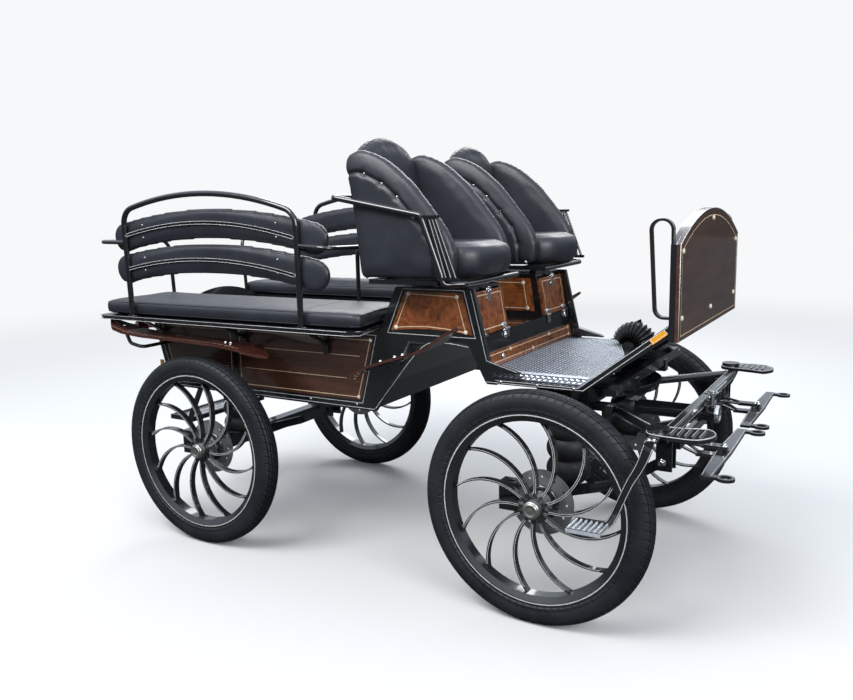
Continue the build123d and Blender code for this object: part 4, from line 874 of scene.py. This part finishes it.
for side, hand in HANDS:
    leaf_gold = Trim()
    leaf_chrome = Trim()
    leaf_gold.line([on_hatch(side, *spot) for spot in HATCH_FRAME], 0.0042, HATCH_LEAN, True)
    for y in (306, 322, 338):
        leaf_chrome.stud(on_hatch(side, y, 1117), HATCH_LEAN, 0.0048)
    leaf_chrome.slab([on_hatch(side, *spot) for spot in KEY_PLATE], HATCH_LEAN, 0.005)
    hook = [(314, 1140, 8), (319, 1153, 14), (329, 1160, 12), (332, 1163, 7)]
    leaf_chrome.tube([on_hatch(side, *spot) for spot in hook], 0.0038, 8)
    loop = [(332, 1140, 8), (326, 1150, 14), (317, 1161, 10)]
    leaf_chrome.tube([on_hatch(side, *spot) for spot in loop], 0.0034, 8)
    leaf_chrome.stud(on_hatch(side, 323, 1152, 6), HATCH_LEAN, 0.008)
    for y in (228, 418):
        upper = [(y - 22, 1010), (y + 22, 1010), (y + 15.8, 992), (y - 15.8, 992)]
        lower = [(y - 12, 974), (y + 12, 974), (y + 15, 950), (y - 15, 950)]
        leaf_chrome.slab([on_hatch(side, *spot) for spot in upper], HATCH_LEAN, 0.0035)
        chrome_small.slab([on_hatch(side, *spot) for spot in lower], HATCH_LEAN, 0.0035)
        pin = [on_hatch(side, y - 24, 981, 4), on_hatch(side, y + 24, 981, 4)]
        chrome_small.tube(pin, 0.0042, 12)
        for dy in (-11, 11):
            leaf_chrome.stud(on_hatch(side, y + dy, 1002, 3.2), HATCH_LEAN, 0.0042)
            chrome_small.stud(on_hatch(side, y + dy * 0.7, 962, 3.2), HATCH_LEAN, 0.0042)
    leaf_gold.piece(f"hatch_{hand}_inlay", INLAY, "burl_veneer", f"hatch_{hand}_leaf")
    leaf_chrome.piece(f"hatch_{hand}_hardware", CHROME, "chrome", f"hatch_{hand}_leaf")

# Riser strip: inlay frame with studs, seam and small knob
STRIP_OUT = Vector((1, 0, 0.19))
STRIP_FRAME = [(-418, 903), (418, 903), (418, 872), (-418, 872)]


def on_strip(y, z, lift=0.0):
    """Point on the leaning face of the riser strip."""
    return mm(-291.2 + (914 - z) * 10.4 / 57 + 3.1 + lift, y, z)


inlaid([on_strip(y, z) for y, z in STRIP_FRAME], 0.0036, STRIP_OUT, 0.0075)
for y, z in ((-215, 903), (2, 872), (190, 903)):
    cream.stud(on_strip(y, z), STRIP_OUT, 0.0075)
chrome_small.stud(on_strip(-297, 888, 4), STRIP_OUT, 0.011)
seam = Trim()
seam.line([on_strip(-262, 914), on_strip(-262, 860)], 0.002, STRIP_OUT)
seam.piece("riser_strip_seam", BLACK, "black_gloss_paint")


# Dash: inlay lines with studs on the front and the back of the board

def dash_arch(half, foot, rise, steps):
    """Points (y, z) of the dash's arched top."""
    shares = [-1 + 2 * k / steps for k in range(steps + 1)]
    return [(share * half, foot + rise * (1 - share * share)) for share in shares]


DASH_STUDS = ((-445, 1311), (0, 1409), (445, 1311), (441, 1089), (0, 1079), (-441, 1089))
for x, way, half in ((439, 1, 460), (427, -1, 452)):
    outline = [(-half, 1031)] + dash_arch(half, 1314, 105, 12) + [(half, 1031)]
    gold.line([mm(x, y, z) for y, z in outline], 0.0034, (way, 0, 0), True)
    for y, z in DASH_STUDS:
        cream.stud(mm(x, y, z), (way, 0, 0), 0.0095)
arch = dash_arch(485, 1334, 110.5, 24)
for x in (439.4, 425.5):
    silver.tube([mm(x, y, z) for y, z in arch], 0.0016, 6)
for y in (-485.6, 485.6):
    silver.tube([mm(439.4, y, z) for z in (1334, 1200, 1016)], 0.0014, 6)

# Rear door and rear panels
REAR_UP = Vector((-95, 0, 330)).normalized()
REAR_OUT = Vector((-330, 0, -95)).normalized()


def on_rear(u, v, lift):
    """Point on the sloping rear: u across, v up the slope, lifted off it."""
    return mm(-1935, 0, 655) + REAR_UP * v / 1000 + REAR_OUT * lift / 1000 + Vector((0, -u / 1000, 0))


door_gold = Trim()
door_cream = Trim()
door_chrome = Trim()
door_frame = [(-222, 48), (-222, 360), (-110, 396), (0, 408), (110, 396), (222, 360), (222, 48)]
door_gold.line([on_rear(u, v, 2) for u, v in door_frame], 0.0034, REAR_OUT, True)
door_gold.line([on_rear(-205, 205, 2), on_rear(205, 205, 2)], 0.0026, REAR_OUT)
for u, v in ((-222, 48), (222, 48), (-222, 360), (222, 360), (0, 408)):
    door_cream.stud(on_rear(u, v, 2), REAR_OUT, 0.0085)
lock_plate = [on_rear(u, v, 2) for u, v in ((196, 196), (236, 196), (236, 226), (196, 226))]
door_chrome.slab(lock_plate, REAR_OUT, 0.004)
lever = [on_rear(206, 211, 8), on_rear(206, 211, 26), on_rear(150, 211, 30)]
door_chrome.tube(lever, 0.0052, 10)
for side in SIDES:
    for v in (70, 273):
        for u, dv in ((264, -12), (280, 12), (262, 12), (281, -12)):
            chrome_small.stud(on_rear(-u, v + dv, 6), REAR_OUT, 0.0042)
    corners = [(side * u, v) for u, v in ((292, 46), (292, 300), (418, 300), (418, 46))]
    inlaid([on_rear(u, v, -2.4) for u, v in corners], 0.003, REAR_OUT, 0.0075)
door_gold.piece("rear_door_inlay", INLAY, "dark_veneer", "rear_door_leaf")
door_cream.piece("rear_door_inlay_studs", CREAM, "dark_veneer", "rear_door_leaf")
door_chrome.piece("rear_door_handle", CHROME, "chrome", "rear_door_leaf")

# Backrest hoops, slat bars and arm rails: pale lines, caps and foot plates
HOOP_FACE = 686
BENCH_RAIL = [(-2133, 301.5), (-2133, 693.5), (-745, 693.5), (-702, 665.5), (-742, 481.5)]
for side, hand in HANDS:
    out = (0, side, 0)
    for end_z, rise in ((1368, 56), (1222, 50)):
        for shift in (-6, 6):
            run = []
            for t in (k / 24 for k in range(25)):
                z = end_z - 8 * t + (rise + 4) * (1 - (2 * t - 1) ** 2) + shift
                run.append(mm(-1933 + 959 * t, side * HOOP_FACE, z))
            silver.line(run, 0.002, out)
        for x, dz in ((-1928, 0), (-979, -8)):
            chrome_small.screw(mm(x, side * HOOP_FACE, end_z + dz), out, 0.0055)
    for x, end in ((-1925, "rear"), (-968, "front")):
        foot = Trim()
        corners = level(1013, side, ((x - 24, 664), (x + 24, 664), (x + 24, 690), (x - 24, 690)))
        foot.slab(corners, (0, 0, 1), 0.004)
        foot.piece(f"hoop_foot_{end}_{hand}", BLACK, "black_gloss_paint")
    for z in (994, 1010):
        silver.tube(level(z, side, BENCH_RAIL), 0.0012, 6)

# Tread plate: rows of raised bars, a painted highlight along the right fold and a bright bead round the cut
# corner
tread = Trim()
fold_highlight_and_corner_bead = Trim()


def cut_corner(x):
    """How far the tread plate reaches to the left at x, round its cut corner."""
    if x < -48:
        return 424
    return 330 + (x + 2) * -2.04 if x < -2 else 330 - (x + 2) * 2.78


for row in range(23):
    x = -272.0 + 17 * row
    for column in range(31):
        y = -428.0 + (row % 2) * 14 + 28 * column
        if y + 12 < cut_corner(x) - 6:
            tread.lozenge(mm(x, y, 855.1), (0, 0.0128, 0), (0.0050, 0, 0), (0, 0, 1), 0.0024)
for row in range(18):
    x = -272.0 + 22 * row
    for part, shift, lean in ((0.3, 0, 0.0022), (0.75, 11, -0.0022)):
        y = 437 + 21 * part
        z = 855.0 - 20.5 * part
        for side in SIDES if x <= -96 else (-1,):
            spot = mm(x + shift, side * (y + 0.4), z + 0.9)
            along = (0.0095, side * lean, -lean)
            across = (0, side * 0.0026, -0.0026)
            tread.lozenge(spot, along, across, (0, side * 0.7, 0.7), 0.0013)
tread.piece("footboard_tread_bars", TREAD_BARS, "tread_plate", smooth=False)
# Painted highlight: a bright strip along the plate's right fold edge, then a bright bead round the cut
# corner
fold_highlight_and_corner_bead.line([mm(-200, -433.5, 855.8), mm(118, -433.5, 855.8)], 0.013, (0, -0.5, 1), False, 0.0022)
fold_highlight_and_corner_bead.tube([mm(-1, 322, 855), mm(56, 165, 855), mm(118, -6, 855)], 0.0014, 6)
fold_highlight_and_corner_bead.piece("footboard_nosing", TREAD_EDGE, "tread_plate")

# Brake pedal boot: soft pleats that fan out about the pedal's hinge
HALF_PLAN = [
    (-51, 0.30), (-50, 0.72), (-38, 0.90), (-18, 0.985), (18, 0.985), (38, 0.90), (50, 0.72), (51, 0.30),
]
FOLDS = 23
boot_rows = []
for k in range(FOLDS):
    a = math.radians(142 - 119 * k / (FOLDS - 1))
    far = 90 + 40 * math.sin(math.pi * min(1.0, k / 26) * 0.62)
    narrow = 0
    if k % 2:
        far -= 12
        narrow = 8
    row = []
    for y, share in HALF_PLAN:
        y = y - narrow if y > 0 else y + narrow
        z = max(851.0, 836 + math.sin(a) * far * share)
        row.append(mm(23 + math.cos(a) * far * share, 372 + y, z))
    boot_rows.append(row)
boot = Trim()
right_edge = tuple(k * 8 for k in range(FOLDS))
left_edge = tuple(k * 8 + 7 for k in range(FOLDS))
boot_faces = []
for k in range(FOLDS - 1):
    boot_faces.extend((k * 8 + i, k * 8 + i + 1, k * 8 + i + 9, k * 8 + i + 8) for i in range(7))
boot_faces.append(tuple(range(8)))
boot_faces.append(tuple((FOLDS - 1) * 8 + i for i in range(8))[::-1])
boot_faces.extend((right_edge, left_edge[::-1], right_edge[::-1] + left_edge))
boot.add([v for row in boot_rows for v in row], boot_faces)
boot_piece = boot.piece("brake_boot_pleats", RUBBER, "black_rubber")
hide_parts("brake_boot")
bevelled(boot_piece, "pleat_edge", 0.0022)
pedal = Trim()
pedal_plate = [mm(-34, 431, 886), mm(-34, 436, 912), mm(52, 436, 955), mm(58, 431, 940)]
pedal.slab(pedal_plate, (0, 0.9, -0.3), 0.004)
pedal.piece("brake_pedal_plate", BLACK, "black_gloss_paint")

# Reflectors: pale border line
for side in SIDES:
    half_width = Vector((-0.61, 0, 0.79)) * 0.0078
    a, b = upright(side * 483.4, ((352, 1013), (397, 1048)))
    border = [a - half_width, b - half_width, b + half_width, a + half_width]
    cream.line(border, 0.002, (0, side, 0), True)

# Wheels: lines on rim and spokes, tyre with ribs, hub cap ring, disc ring and nuts
AXLE = Vector((0, 1, 0))
SPOKES = 12
SPOKE_START = Vector((0.034, 0.0))
SPOKE_TURN = math.radians(26)
SPOKE_END = Vector((0.319 * math.cos(SPOKE_TURN), 0.319 * math.sin(SPOKE_TURN)))
SPOKE_AIM = math.radians(-14)
RIM_LINE_RADIUS = 0.3405
NUT_RADIUS = 0.0435
CAP_RING = [(0.0262, -0.001), (0.0262, 0.0030), (0.0245, 0.0052), (0.021, 0.0052), (0.019, 0.0038)]
NUT = [(0.006, 0), (0.006, 0.006), (0.0045, 0.0075)]
DISC_BELL = [(0.066, -0.004), (0.066, 0.004), (0.058, 0.009), (0.044, 0.010)]
HALF_TYRE = [
    (350, 33), (353, 36), (356, 38.2), (359, 38.2), (361, 37.6), (368, 40.2), (380, 41.4), (390, 41.5),
    (393, 40.6), (398, 40.0), (404, 38), (410, 34.5), (414, 31.5), (406, 30.2), (405.6, 27.6),
    (418, 26.2), (421.2, 20.8), (410, 19.8), (410, 16.6), (422.6, 15.6), (424.4, 9), (413, 8),
    (413, 4.6), (424.8, 3.6), (425, 1.2),
]
RIBS = HALF_TYRE + [(r, -y) for r, y in HALF_TYRE[::-1]]


def spoke_path(count):
    """Middle line of one spoke: an arc that leaves the hub along its aim and ends at the rim."""
    chord = SPOKE_END - SPOKE_START
    lean = math.atan2(chord.y, chord.x) - SPOKE_AIM
    radius = chord.length / (2 * math.sin(lean))
    centre = SPOKE_START + Vector((-math.sin(SPOKE_AIM), math.cos(SPOKE_AIM))) * radius
    turns = [SPOKE_AIM - math.pi / 2 + 2 * lean * k / count for k in range(count + 1)]
    return [centre + Vector((math.cos(a), math.sin(a))) * radius for a in turns]


def tyre_piece(name, body, place):
    tyre = Trim()
    rows = [
        [Vector((c * r / 1000, y / 1000, s * r / 1000)) + place for r, y in RIBS]
        for c, s in unit_circle(144)
    ]
    tyre.skin(rows, closed=True)
    piece = tyre.piece(name + "_ribbed_tyre", TYRE, "tyre", body, True, place)
    piece.data.set_sharp_from_angle(angle=math.radians(38))
    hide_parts(name + "_tyre")


SPOKE = spoke_path(14)[1:-1]
for corner, axle_x, side in CORNERS:
    body = corner + "_road_wheel"
    out = Vector((0, side, 0))
    hub_middle = Vector((axle_x, side * WHEEL_Y, WHEEL_Z))
    tyre_piece(corner, body, hub_middle)
    lines = Trim()
    steel = Trim()
    dark = Trim()
    for depth, way in ((0.0090, 1), (-0.0170, -1)):
        for c, s in unit_circle(SPOKES):
            path = [
                hub_middle + Vector((p.x * c - p.y * s, side * depth, p.x * s + p.y * c)) for p in SPOKE
            ]
            path.append(path[-1] * 2 - path[-2])
            for shift in (-0.0030, 0.0030):
                pairs = zip(path, path[1:])
                edge = [a + AXLE.cross(b - a).normalized() * shift for a, b in pairs]
                lines.line(edge, 0.0017, (0, side * way, 0))
    rim_line = [
        hub_middle + Vector((RIM_LINE_RADIUS * c, side * 0.034, RIM_LINE_RADIUS * s))
        for c, s in unit_circle(96)
    ]
    lines.line(rim_line, 0.0038, out, True, 0.0006)
    steel.turned(hub_middle + out * 0.036, out, CAP_RING, 40)
    for c, s in unit_circle(5):
        nut_foot = hub_middle + Vector((NUT_RADIUS * c, side * -0.050, NUT_RADIUS * s))
        steel.turned(nut_foot, -out, NUT, 6)
    dark.turned(hub_middle - out * 0.064, out, DISC_BELL, 40)
    lines.piece(corner + "_wheel_lines", SILVER, "wheel_black", body)
    steel.piece(corner + "_hub_trim", HUB_STEEL, "hub_steel", body)
    dark.piece(corner + "_disc_bell", BLACK, "wheel_black", body)

# Mudguards: bolts and pale edge lines
GUARD_BOLTS = (
    (-2030, 645, 962), (-1380, 645, 922), (-1408, 645, 924),
    (-540, 625, 929), (-575, 625, 919), (-640, 625, 897),
)
GUARD_EDGE = [(-2060, 963.5), (-1980, 943.5), (-1860, 933.5), (-1600, 927.5), (-1400, 921.5), (-1290, 909)]
for side in SIDES:
    for x, y, z in GUARD_BOLTS:
        chrome_small.screw(mm(x, side * y, z - 3), (-0.1, 0, 1), 0.0062)
    for y in (594, 696):
        gold.line(upright(side * y, GUARD_EDGE), 0.0018, (0, 0, 1), False, 0.0012)

# Front carriage: foot plate ribs, serrated treads, bolts, chrome sleeve and pin ring
UP = (0, 0, 1)
FORE = (1, 0, 0)
FOOT_PLATE = smooth_run([
    (400, 655), (378, 604), (400, 553), (480, 540), (556, 522), (588, 590), (550, 660), (480, 667),
], 4, True)
STEP_BARS = [184 + k * 17.7 for k in range(7)]
STEP_FRAME = [(180, 712), (294, 712), (294, 816), (180, 816)]
front_chrome = Trim()
front_silver = Trim()
serration = Trim()
for side in SIDES:
    front_silver.tube(level(743.6, side, FOOT_PLATE), 0.0014, 6, True)
    for x in range(460, 553, 23):
        front_silver.line(level(748, side, ((x, 550), (x, 646))), 0.0022, UP)
    for x in STEP_BARS:
        for j in range(9):
            spot = mm(x, side * (716 + j * 11.2), 447)
            serration.lozenge(spot, (0, 0.0046, 0), (0.0038, 0, 0), UP, 0.0042)
    serration.line(level(446.6, side, STEP_FRAME), 0.005, UP, True)
    for x, y, z in ((410, 640, 738), (426, 640, 738), (410, 700, 737), (426, 700, 737)):
        front_chrome.screw(mm(x, side * y, z), UP, 0.006)
    for y in (300, 400):
        front_chrome.screw(mm(436, side * y, 650), FORE, 0.0062)
        front_chrome.screw(mm(430, side * y, 690), FORE, 0.005)
    for y, way in ((439, -side), (501, side)):
        front_chrome.screw(mm(402, side * y, 604), (0, way, 0), 0.009)
    front_chrome.screw(mm(572, side * 340, 644), UP, 0.009)
    for z in (703, 727):
        front_silver.line([mm(439, side * 60, z), mm(439, side * 550, z)], 0.0022, FORE)
    for x in (412, 436):
        front_silver.line(level(730, side, ((x, 60), (x, 540))), 0.0022, UP)
    front_silver.tube(level(730, side, ((146, 258), (408, 548))), 0.0012, 6)
SLEEVE = [(0.034, -0.012), (0.034, 0.001), (0.031, 0.004), (0.0255, 0.004), (0.0245, 0.001)]
front_chrome.tube([mm(437, y, 715) for y in (48, 52, 366, 370)], 0.0085, 16)
front_chrome.turned(mm(484, 0, 666), FORE, SLEEVE, 32)
front_chrome.piece("front_bolts_and_sleeve", CHROME, "chrome", "front_carriage")

STEP_ARM = smooth_run([
    (418, 640, 734), (418, 668, 736), (417, 694, 735), (415, 713, 726), (410, 721, 706),
    (400, 723.5, 676), (384, 724, 640), (362, 724, 600), (336, 724, 540), (312, 724, 482),
    (292, 724, 447), (262, 724, 440), (190, 724, 439),
], 4)
ARM_SECTION = ((-1, -0.6), (-0.94, -1), (0.94, -1), (1, -0.6), (1, 0.6), (0.94, 1), (-0.94, 1), (-1, 0.6))
ARM_HALF_THICK = 4.2


def arm_frames():
    """Middle, wide and thick directions and half width along the step's flat arm, on the left."""
    found = []
    for i, point in enumerate(STEP_ARM):
        before = Vector(STEP_ARM[max(i - 1, 0)])
        after = Vector(STEP_ARM[min(i + 1, len(STEP_ARM) - 1)])
        tangent = (after - before).normalized()
        wide = Vector((tangent.z, 0, -tangent.x))
        if abs(tangent.y) > 0.85:
            wide = Vector(FORE)
        else:
            wide = (wide + Vector((abs(tangent.y), 0, 0)) * 1.5).normalized()
        if wide.x < 0:
            wide = -wide
        share = i / (len(STEP_ARM) - 1)
        found.append((Vector(point), wide, tangent.cross(wide).normalized(), 21 - 8 * min(1.0, share * 1.6)))
    return found


for side, hand in HANDS:
    bar_lines = Trim()
    for middle_x, end_x in ((594, 588.5), (550, 561.5)):
        for end in SIDES:
            near = mm(middle_x, side * 340, 627)
            bar_lines.line([near, mm(end_x, side * 340 + end * 296, 627)], 0.0020, UP)
    bar_lines.piece(f"swingletree_{hand}_lines", SILVER, "black_gloss_paint", f"swingletree_{hand}_bar")
    arm = Trim()
    rings = []
    edges = ([], [])
    for middle, wide, thick, half_wide in arm_frames():
        rings.append([])
        for a, b in ARM_SECTION:
            spot = middle + wide * half_wide * a + thick * ARM_HALF_THICK * b
            rings[-1].append(mm(spot.x, side * spot.y, spot.z))
        outward = thick if thick.y + thick.z > 0 else -thick
        for edge, way in zip(edges, (-1, 1)):
            spot = middle + wide * (half_wide - 2.5) * way + outward * 4.3
            edge.append(mm(spot.x, side * spot.y, spot.z))
    arm.skin(rings, True, True)
    grid = Trim()
    for x in STEP_BARS:
        grid.block(side, (x - 4, x + 4), (712, 818), (437, 447))
    for y in (718, 812):
        grid.block(side, (180, 294), (y - 4, y + 4), (432, 446))
    arm_piece = arm.piece(f"side_step_bar_{hand}", BLACK, "step_steel", "front_carriage", False)
    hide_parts("side_steps")
    grid_piece = grid.piece(f"side_step_tread_{hand}", TREAD_EDGE, "step_steel", "front_carriage", False)
    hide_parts("side_steps")
    bevelled(arm_piece, "soft_edge", 0.001)
    for edge in edges:
        front_silver.tube(edge[14:42], 0.0010, 6)
serration.piece("side_step_serrations", TREAD_BARS, "step_steel", "front_carriage", False)
front_silver.piece("front_pinstripes", SILVER, "black_gloss_paint", "front_carriage")

# Rear step: serrations
rear_tread = Trim()
for i in range(12):
    for j in range(21):
        spot = mm(-2178 + i * 12.4, -250 + j * 25, 428.1)
        rear_tread.lozenge(spot, (0, 0.0095, 0), (0.003, 0, 0), UP, 0.0016)
rear_tread.piece("rear_step_tread_bars", TREAD_BARS, "step_steel", smooth=False)

# Rear lamps: lens rings
LAMP_RING = [(0.0325, -0.006), (0.0325, 0.001), (0.030, 0.0024), (0.028, 0.0012)]
lamp_trim = Trim()
for side in SIDES:
    lamp_trim.turned(mm(-2095.2, side * 502, 936), (-1, 0, 0), LAMP_RING, 32)
lamp_trim.piece("rear_lamp_rings", CHROME, "chrome")

# Undercarriage bolts on the body side
WAIST_STUDS = [(x, 672) for x in (-1900, -1516, -1100, -860)] + [(x, 965) for x in (-2000, -1516, -830)]
FRAME_STUDS = ((0.0055, WAIST_STUDS), (0.005, [(x, 824) for x in (-205, -60, 80)]))
for side in SIDES:
    out = (0, side, 0)
    for z in (588, 640):
        chrome_small.screw(mm(-368, side * 334.5, z), out, 0.0085)
    for radius, spots in FRAME_STUDS:
        for x, z in spots:
            chrome_small.stud(mm(x, side * FRAME_FACE, z), out, radius)

gold.piece("inlay_lines", INLAY, "burl_veneer")
silver.piece("body_pinstripes", SILVER, "black_gloss_paint")
cream.piece("inlay_studs", CREAM, "burl_veneer")
chrome_small.piece("body_screws_and_buttons", CHROME, "chrome")


# Stage, light and camera

FLOOR_GREY = (0.62, 0.62, 0.61)
BACKDROP = (0.93, 0.94, 0.95, 1)

floor_form = Trim()
floor_form.add([(-30, -30, 0), (30, -30, 0), (30, 30, 0), (-30, 30, 0)], [(0, 1, 2, 3)])
floor = add_object("studio_floor", floor_form.mesh("studio_floor"))
FLOOR = new_material("studio_floor", FLOOR_GREY, 0.9)
to_camera = add_node(FLOOR, "ShaderNodeLightPath").outputs["Is Camera Ray"]
tint(FLOOR, to_camera, [(0.0, (0.03, 0.033, 0.03)), (1.0, FLOOR_GREY)])
floor_reach = add_node(FLOOR, "ShaderNodeVectorMath", operation="LENGTH")
feed(FLOOR, floor_reach.inputs[0], add_node(FLOOR, "ShaderNodeTexCoord").outputs["Object"])
far_off = map_range(
    FLOOR, floor_reach.outputs["Value"], 0.0, 1.0, 2.5, 11.0, interpolation_type="SMOOTHSTEP",
)
floor_glow = add_node(FLOOR, "ShaderNodeEmission", Color=BACKDROP)
floor_mix = add_node(FLOOR, "ShaderNodeMixShader", Fac=maths(FLOOR, "MULTIPLY", far_off, to_camera))
feed(FLOOR, floor_mix.inputs[1], shader_of(FLOOR).outputs["BSDF"])
feed(FLOOR, floor_mix.inputs[2], floor_glow.outputs["Emission"])
floor_surface = FLOOR.node_tree.nodes["Material Output"].inputs["Surface"]
feed(FLOOR, floor_surface, floor_mix.outputs["Shader"])
floor.data.materials.append(FLOOR)

world = bpy.data.worlds.new("studio")
bpy.context.scene.world = world
world.use_nodes = True
world.node_tree.nodes.clear()
sky_coords = add_node(world, "ShaderNodeTexCoord").outputs["Generated"]
sky_height = add_node(world, "ShaderNodeSeparateXYZ", Vector=sky_coords).outputs["Z"]
sky_colour = ramp(world, sky_height, [
    (0.02, (0.045, 0.05, 0.05)), (0.16, (0.42, 0.46, 0.52)), (0.60, (0.86, 0.93, 1.05)),
])
sky = add_node(world, "ShaderNodeBackground", Color=sky_colour, Strength=1.0)
plain = add_node(world, "ShaderNodeBackground", Color=BACKDROP, Strength=1.0)
seen = add_node(world, "ShaderNodeLightPath").outputs["Is Camera Ray"]
sky_mix = add_node(world, "ShaderNodeMixShader", Fac=seen)
feed(world, sky_mix.inputs[1], sky.outputs["Background"])
feed(world, sky_mix.inputs[2], plain.outputs["Background"])
add_node(world, "ShaderNodeOutputWorld", Surface=sky_mix.outputs["Shader"])

LIGHTS = (
    ("key_light", (-1.5, -4.5, 6.0), (0, 0, 0.7), (4.0, 3.0), 420),
    ("fill_light", (5.0, -3.5, 3.4), (0.3, 0, 0.8), (3.0, 2.5), 230),
    ("back_light", (-2.0, 5.0, 4.5), (0, 0, 1.0), (5.0, 2.5), 220),
)
for name, place, target, size, power in LIGHTS:
    data = bpy.data.lights.new(name, "AREA")
    data.shape = "RECTANGLE"
    data.size, data.size_y = size
    data.energy = power
    lamp = add_object(name, data)
    lamp.location = place
    lamp.rotation_euler = (Vector(target) - Vector(place)).to_track_quat("-Z", "Y").to_euler()

CAMERA_PLACE = Vector((FRONT_AXLE_X + 1.098, -3.228, 1.480))
CAMERA_YAW = math.radians(30.376)
CAMERA_PITCH = math.radians(9.9)
CAMERA_ROLL = math.radians(-1.233)
FOCAL_PIXELS = 836.12
FRAME_WIDTH = 853
FRAME_HEIGHT = 700
PRINCIPAL_POINT = (428.25, 349.84)

ahead_dir = Vector((
    -math.sin(CAMERA_YAW) * math.cos(CAMERA_PITCH),
    math.cos(CAMERA_YAW) * math.cos(CAMERA_PITCH),
    -math.sin(CAMERA_PITCH),
))
level_right = Vector((math.cos(CAMERA_YAW), math.sin(CAMERA_YAW), 0))
level_up = level_right.cross(ahead_dir)
right_dir = math.cos(CAMERA_ROLL) * level_right + math.sin(CAMERA_ROLL) * level_up
up_dir = -math.sin(CAMERA_ROLL) * level_right + math.cos(CAMERA_ROLL) * level_up
lens = bpy.data.cameras.new("photo_camera")
lens.sensor_fit = "HORIZONTAL"
lens.sensor_width = 36.0
lens.lens = FOCAL_PIXELS / FRAME_WIDTH * 36.0
lens.shift_x = (FRAME_WIDTH / 2 - PRINCIPAL_POINT[0]) / FRAME_WIDTH
lens.shift_y = (PRINCIPAL_POINT[1] - FRAME_HEIGHT / 2) / FRAME_WIDTH
camera = add_object("photo_camera", lens)
turn = Matrix((right_dir, up_dir, -ahead_dir)).transposed()
camera.matrix_world = Matrix.Translation(CAMERA_PLACE) @ turn.to_4x4()
bpy.context.scene.camera = camera
bpy.context.scene.view_settings.view_transform = "Standard"
